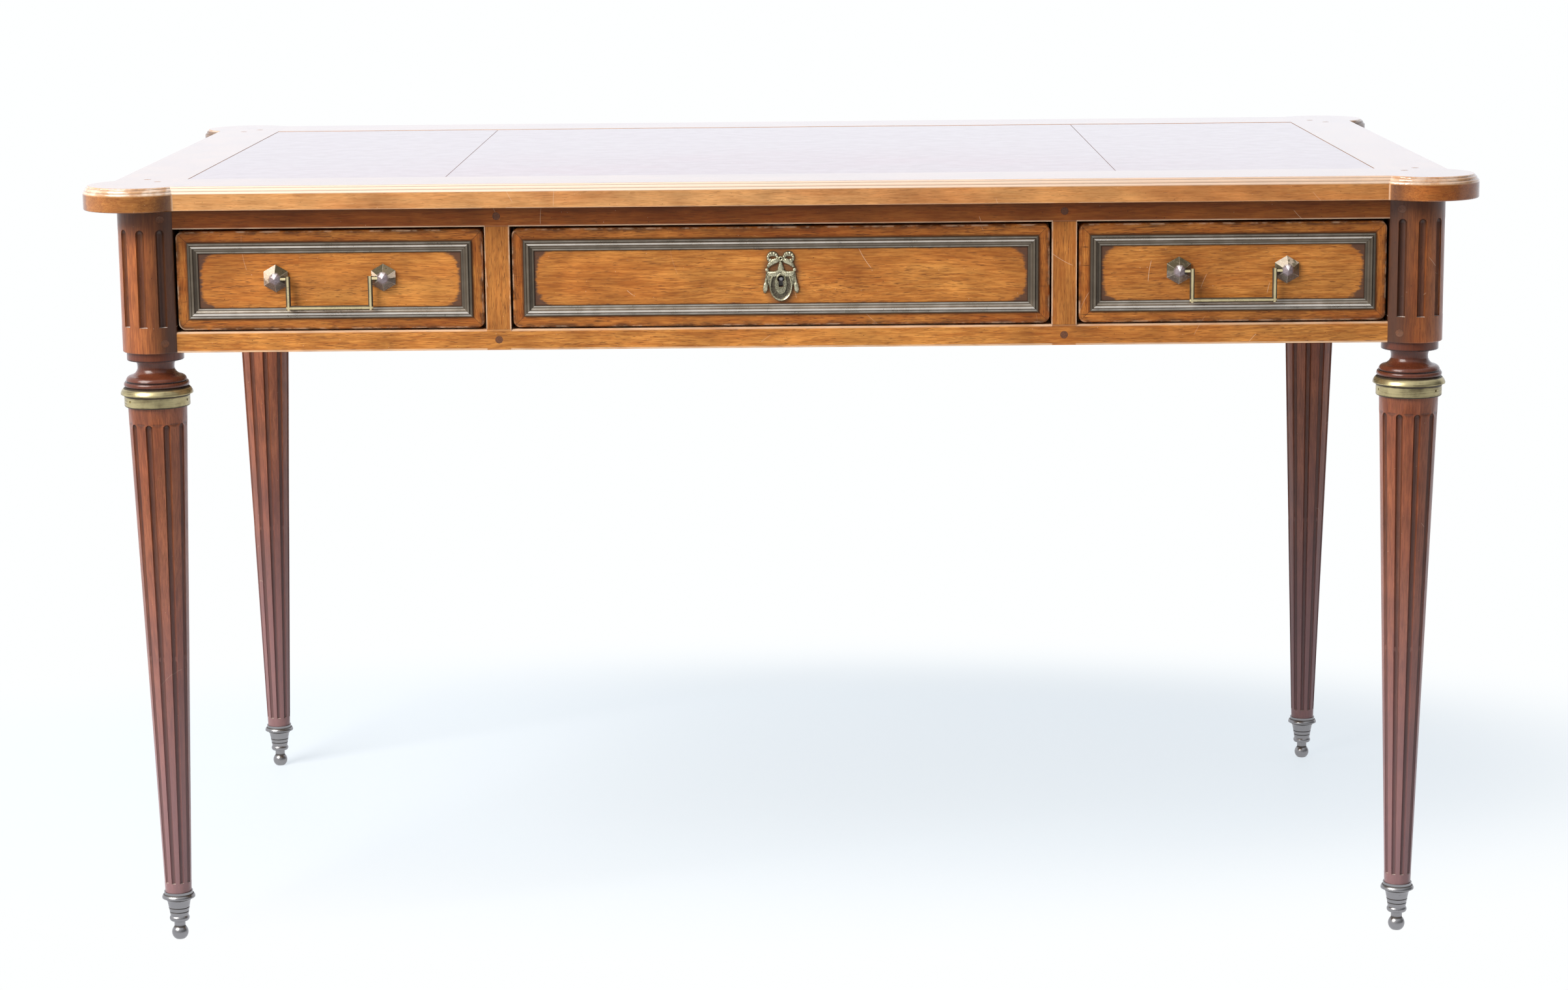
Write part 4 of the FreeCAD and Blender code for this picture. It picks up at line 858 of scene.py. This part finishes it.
# Strands, in metres from the keyhole: four points of the curve, half widths along it, half heights, ribs,
# and how blunt the ends are
strands = {
    "tail": (((0.0012, 0.0184), (0.005, 0.0178), (0.0098, 0.0168), (0.013, 0.0106)),
             (0.0018, 0.0027, 0.0024, 0.0014), (0.0011, 0.0014, 0.0013, 0.001), 8),
    "swag": (((0.0128, 0.0078), (0.0112, 0.004), (0.005, 0.0034), (0.0008, 0.0074)),
             (0.0012, 0.0028, 0.0029, 0.0018), (0.0011, 0.0015, 0.0015, 0.0012), 9),
    "fold": (((0.0118, 0.0072), (0.0117, 0.003), (0.0113, -0.003), (0.01, -0.0095)),
             (0.0014, 0.0021, 0.0019, 0.0008), (0.0008, 0.0011, 0.0011, 0.0008), 3),
    "husk": (((0.0136, 0.0076), (0.0139, 0.002), (0.0144, -0.0055), (0.0157, -0.014)),
             (0.0006, 0.0007, 0.0014, 0.0025, 0.0019), (0.0008, 0.0009, 0.0012, 0.0017, 0.001), 5),
    "bead": (((0.0116, 0.009), (0.0128, 0.009), (0.014, 0.009), (0.0152, 0.009)),
             (0.0018, 0.0018), (0.0018, 0.0018), 0, 2.0),
    "stem": (((0.0, 0.0176), (0.0, 0.014), (0.0, 0.011), (0.0, 0.006)),
             (0.0012, 0.0019, 0.0031, 0.003), (0.001, 0.0012, 0.0013, 0.0012), 0),
}


def ovalReach(turn, centre, half):
    # Distance from the start of the rays to an oval whose middle is at a height: the positive root of
    # a quadratic
    c, s = np.cos(turn), np.sin(turn)
    a = (c / half[0]) ** 2 + (s / half[1]) ** 2
    b = -s * centre / half[1] ** 2
    return (-b + np.sqrt(b * b - a * ((centre / half[1]) ** 2 - 1.0))) / a


def shieldRings():
    # Rings from the keyhole out to the rim, each a distance along the rays and a height over the drawer
    turn = np.linspace(0.0, 2 * np.pi, keyPlate["rays"], endpoint=False)
    c, s = np.cos(turn), np.sin(turn)
    lift = keyPlate["rayDrop"]
    width, depth = keyPlate["slot"]
    eye = ovalReach(turn, lift, (keyPlate["eye"],) * 2)
    slot = np.minimum(width / np.maximum(np.abs(c), 1e-6), (depth - lift) / np.maximum(-s, 1e-6))
    hole = np.maximum(eye, np.where(s < 0, slot, 0.0))
    rim = ovalReach(turn, keyPlate["outer"][0] + lift, keyPlate["outer"][1])
    field = np.minimum(ovalReach(turn, keyPlate["inner"][0] + lift, keyPlate["inner"][1]), rim - 0.003)
    field = np.maximum(field, hole + 0.0018)
    stations = [
        (hole, 0.0), (hole, 0.002), (hole + 0.0003, 0.0023), (hole + 0.0008, 0.0018),
        ((hole + field) / 2, 0.0021), (field - 0.0006, 0.0019), (field, 0.001),
        ((field + rim) / 2, 0.0008), (rim - 0.0024, 0.0011), (rim - 0.0018, 0.0023),
        (rim - 0.001, 0.0026), (rim - 0.0002, 0.0016), (rim, 0.0)]
    reach = np.maximum.accumulate(np.stack([r for r, _ in stations]), axis=0)
    height = np.broadcast_to(np.array([h for _, h in stations])[:, None], reach.shape)
    return np.stack([reach * c, height, reach * s - lift], -1)


def ovalRings(place, hole, rim, height, ribs):
    # Flat ring between two ovals: it rises steeply at the hole, crowns and falls to the rim, ribbed round
    # the turn
    turn = np.linspace(0.0, 2 * np.pi, 72, endpoint=False)
    share = np.array([0.0, 0.0, 0.2, 0.45, 0.7, 0.92, 1.0])[:, None]
    lift = np.array([0.0, 0.75, 0.95, 1.0, 0.92, 0.6, 0.0])[:, None] * height
    x = place[0] + (hole[0] + share * (rim[0] - hole[0])) * np.cos(turn)
    z = place[1] + (hole[1] + share * (rim[1] - hole[1])) * np.sin(turn)
    y = lift * (1.0 + 0.16 * np.sin(ribs * turn) * (share > 0.1))
    return np.stack([x, y, z], -1)


def strandRings(points, widths, heights, ribs, blunt=8.0):
    # Oval section carried along a cubic curve: its half width and height follow their lists and close at
    # both ends
    t = np.linspace(0.0, 1.0, keyPlate["steps"])[:, None]
    p = np.array(points)
    line = (1 - t) ** 3 * p[0] + 3 * t * (1 - t) ** 2 * p[1] + 3 * t ** 2 * (1 - t) * p[2] + t ** 3 * p[3]
    run = np.gradient(line, axis=0)
    run /= np.linalg.norm(run, axis=1)[:, None]
    across = np.stack([-run[:, 1], run[:, 0]], -1)
    close = np.sqrt(np.clip(1.0 - np.abs(2 * t - 1) ** blunt, 0.0, 1.0))
    ripple = 1.0 + 0.08 * np.sin(2 * np.pi * ribs * t)
    wide = np.interp(t, np.linspace(0, 1, len(widths)), widths) * close * ripple
    high = np.interp(t, np.linspace(0, 1, len(heights)), heights) * close * ripple
    turn = np.linspace(0.0, 2 * np.pi, 16, endpoint=False)
    flat = line[:, None] + across[:, None] * (wide * np.cos(turn))[..., None]
    lift = np.interp(t, np.linspace(0, 1, len(heights)), heights) * 0.8 + high * np.sin(turn)
    return np.stack([flat[..., 0], lift, flat[..., 1]], -1)


def shell(rings, capped):
    # Quads between neighbouring rings. Capped rings end in a pole at each end, others join the last ring to
    # the first
    around = rings.shape[1]
    step = np.arange(around)
    ahead = np.roll(step, -1)
    body = rings[1:-1] if capped else rings
    first = int(capped) + around * np.arange(len(body))[:, None]
    before, after = (first[:-1], first[1:]) if capped else (first, np.roll(first, -1, axis=0))
    quads = np.stack([before + step, before + ahead, after + ahead, after + step], -1).reshape(-1, 4)
    points = body.reshape(-1, 3)
    fans = np.zeros((0, 3), int)
    if capped:
        points = np.concatenate([rings[0, :1], points, rings[-1, :1]])
        start, end = np.zeros(around, int), np.full(around, len(points) - 1)
        fans = np.concatenate([np.stack([start, first[0] + ahead, first[0] + step], -1),
                               np.stack([end, first[-1] + step, first[-1] + ahead], -1)])
    a, b, c = points[np.concatenate([quads[:, :3], quads[:, [0, 2, 3]], fans])].swapaxes(0, 1)
    volume = np.einsum("ij,ij->", a, np.cross(b, c))
    if volume < 0:
        quads, fans = quads[:, ::-1], fans[:, ::-1]
    return points, quads, fans


def addObject(name, data):  # an object at the origin, in the scene
    made = bpy.data.objects.new(name, data)
    bpy.context.scene.collection.objects.link(made)
    return made


def meshObject(name, points, faces, material):  # smooth mesh with one material
    mesh = bpy.data.meshes.new(name)
    mesh.from_pydata(points.tolist(), [], faces)
    mesh.polygons.foreach_set("use_smooth", np.ones(len(mesh.polygons), bool))
    mesh.materials.append(material)
    return addObject(name, mesh)


def makeKeyPlate():  # one mesh of all the pieces, on the centre drawer
    low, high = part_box("centre_drawer_front")
    face = low[1]
    middle = ((low[0] + high[0]) / 2, (low[2] + high[2]) / 2 - keyPlate["keyDrop"])
    pieces = [(shieldRings(), False), (ovalRings(*keyPlate["knot"]), False),
              (strandRings(*strands["stem"]), True)]
    for side in (-1.0, 1.0):
        mirror = np.array([side, 1.0])
        place, *sizes = keyPlate["loop"]
        pieces.append((ovalRings(mirror * place, *sizes), False))
        for name in ("tail", "swag", "fold", "husk", "bead"):
            points, *sizes = strands[name]
            pieces.append((strandRings(mirror * points, *sizes), True))
    points, faces, count = [], [], 0
    for rings, capped in pieces:
        dots = np.stack([middle[0] + rings[..., 0], face - rings[..., 1], middle[1] + rings[..., 2]], -1)
        dots, quads, fans = shell(dots, capped)
        points.append(dots)
        faces += (quads + count).tolist() + (fans + count).tolist()
        count += len(dots)
    plate = meshObject("keyPlate", np.concatenate(points), faces, plateBrass)
    plate.data.set_sharp_from_angle(angle=radians(keyPlate["sharp"]))
    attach(plate, "centre_drawer")
    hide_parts("escutcheon")


makeKeyPlate()
print("key plate made")


# Stage, light and camera

studio = {
    "floor": (0.93, 0.97, 1.0),
    "bounce": (0.7, 0.7, 0.7),  # the floor as a lamp for the desk
    "glow": ((0.925, 1.0, 1.06), (0.99, 1.0, 1.0)),  # near the desk and far from it
    "glowNear": 0.7,  # share of plain white in the floor round the desk, and far from it
    "glowFar": 1.0,
    "shadow": (0.0, 0.3, 0.0), "squeeze": (1.0, 1.8, 0.0),  # middle and shape of the shaded floor
    "mirror": (0.99, 1.005, 1.065),  # white of the room where it is mirrored
    "sweepDepth": (-3.0, 5.0), "sweepSide": 14.0,
    "sweepRadius": 2.5, "sweepSteps": 24, "sweepRise": 6.0,
    "skyColor": (0.9, 0.97, 1.06),
    "skyLow": 0.18, "skyHigh": 0.42, "skyLeft": 0.16, "skyRight": 0.22,
    "roomLow": 0.22, "roomHigh": 0.75,  # what the fronts mirror, below and above
}
lamps = {  # power, size, place, aim and colour
    "keyLeft": (266.0, 2.6, (-2.85, -2.6, 3.36), (0.0, -0.3, 0.6), (1.0, 0.97, 0.93)),
    "overhead": (6.0, 3.0, (0.0, 0.3, 3.4), (0.0, 0.0, 0.4), (0.95, 0.98, 1.0)),
}


def paper():
    # White floor for what is seen and mirrored, shaded round the desk, a grey one for the light that it
    # throws back, and nothing from below
    material, shader, place = makeMaterial("palePaper")
    rays = put("LightPath").outputs
    setShader(shader, blend(rays["Is Diffuse Ray"], studio["floor"], studio["bounce"]), 0.6)
    seen = larger(rays["Is Camera Ray"], larger(rays["Is Glossy Ray"], rays["Is Transmission Ray"]))
    far = ramp(awayFrom(place, studio["shadow"], studio["squeeze"]), 0.6, 1.35)
    tint = blend(rays["Is Glossy Ray"], blend(far, *studio["glow"]), studio["mirror"])
    glow = put("Emission", {"Color": tint, "Strength": 1.0}).outputs[0]
    share = ramp(far, 0.0, 1.0, studio["glowNear"], studio["glowFar"])
    mixed = put("MixShader", {0: times(seen, share), 1: shader.outputs[0], 2: glow}).outputs[0]
    under = put("NewGeometry").outputs["Backfacing"]
    clear = put("BsdfTransparent").outputs[0]
    shown = put("MixShader", {0: under, 1: mixed, 2: clear}).outputs[0]
    feed(material.node_tree.nodes["Material Output"].inputs[0], shown)
    return material


def floorSweep():
    # Floor that curls up behind: a straight run, a quarter circle and a straight rise, carried along X
    y0, y1 = studio["sweepDepth"]
    r = studio["sweepRadius"]
    turn = np.linspace(0.0, np.pi / 2, studio["sweepSteps"])
    y = np.concatenate(([y0], y1 + r * np.sin(turn), [y1 + r]))
    z = np.concatenate(([0.0], r - r * np.cos(turn), [r + studio["sweepRise"]]))
    x = np.linspace(-studio["sweepSide"], studio["sweepSide"], 3)
    points = np.stack(np.broadcast_arrays(x[:, None], y[None], z[None]), -1).reshape(-1, 3)
    i, j = np.meshgrid(np.arange(len(x) - 1), np.arange(len(y) - 1), indexing="ij")
    first = (i * len(y) + j).ravel()
    faces = np.stack([first, first + len(y), first + len(y) + 1, first + 1], -1)
    floor = meshObject("studioFloor", points, faces.tolist(), paper())


def softLight(name, power, size, place, aim, color):  # square soft box aimed at a point
    light = bpy.data.lights.new(name, "AREA")
    light.energy, light.size, light.color = power, size, color
    lamp = addObject(name, light)
    back = Vector(place) - Vector(aim)
    lamp.matrix_world = Matrix.Translation(place) @ back.to_track_quat("Z", "Y").to_matrix().to_4x4()


def studioWorld():
    # Light grows from the horizon to the zenith and to both sides. What is seen is white, and so is what is
    # mirrored, but for the dim room in front of the desk
    world = bpy.data.worlds.new("studioWorld")
    bpy.context.scene.world = world
    world.use_nodes = True
    begun["tree"] = world.node_tree
    x, y, z = axes(put("TexCoord").outputs["Generated"])
    rays = put("LightPath").outputs
    sides = plus(ramp(x, 0.2, -0.9, 0.0, studio["skyLeft"]), ramp(x, 0.2, 0.9, 0.0, studio["skyRight"]))
    lit = plus(ramp(z, 0.0, 1.0, studio["skyLow"], studio["skyHigh"]), sides)
    behind = ramp(y, -0.5, 0.0)
    above = ramp(z, 0.35, 0.75)
    right = times(ramp(x, 0.3, 0.9), ramp(y, 0.3, 0.7, 1.0, 0.0))
    white = times(larger(behind, above), minus(1.0, right))
    tilt = timesPlus(x, -0.5, z)
    room = ramp(tilt, -0.35, 0.75, studio["roomLow"], studio["roomHigh"])
    mirrored = ramp(white, 0.0, 1.0, room, 1.0)
    mirror = larger(rays["Is Glossy Ray"], rays["Is Transmission Ray"])
    strength = plus(times(mirrored, mirror), times(lit, minus(1.0, mirror)))
    strength = larger(strength, rays["Is Camera Ray"])
    ground = world.node_tree.nodes["Background"]
    color = blend(mirror, studio["skyColor"], studio["mirror"])
    feed(ground.inputs["Color"], blend(rays["Is Camera Ray"], color, (1.0, 1.0, 1.0)))
    feed(ground.inputs["Strength"], strength)


view = {
    "lens": 79.59, "sensor": 36.0,
    "place": (0.02752, -3.68496, 1.06657),
    "yaw": 0.457,
    "pitch": -10.468,
    "roll": 0.566,
}


def setCamera():  # raised to look along Y, then rolled, pitched and turned
    lens = bpy.data.cameras.new("view")
    lens.sensor_fit = "HORIZONTAL"
    lens.sensor_width = view["sensor"]
    lens.lens = view["lens"]
    camera = addObject("view", lens)
    turn = Matrix.Rotation(radians(view["yaw"]), 4, "Z")
    turn = turn @ Matrix.Rotation(radians(view["pitch"]), 4, "X")
    turn = turn @ Matrix.Rotation(radians(view["roll"]), 4, "Y")
    camera.matrix_world = Matrix.Translation(view["place"]) @ turn @ Matrix.Rotation(radians(90.0), 4, "X")
    bpy.context.scene.camera = camera


floorSweep()
studioWorld()
for name, values in lamps.items():
    softLight(name, *values)
setCamera()
bpy.context.scene.view_settings.view_transform = "Standard"
print("studio set")
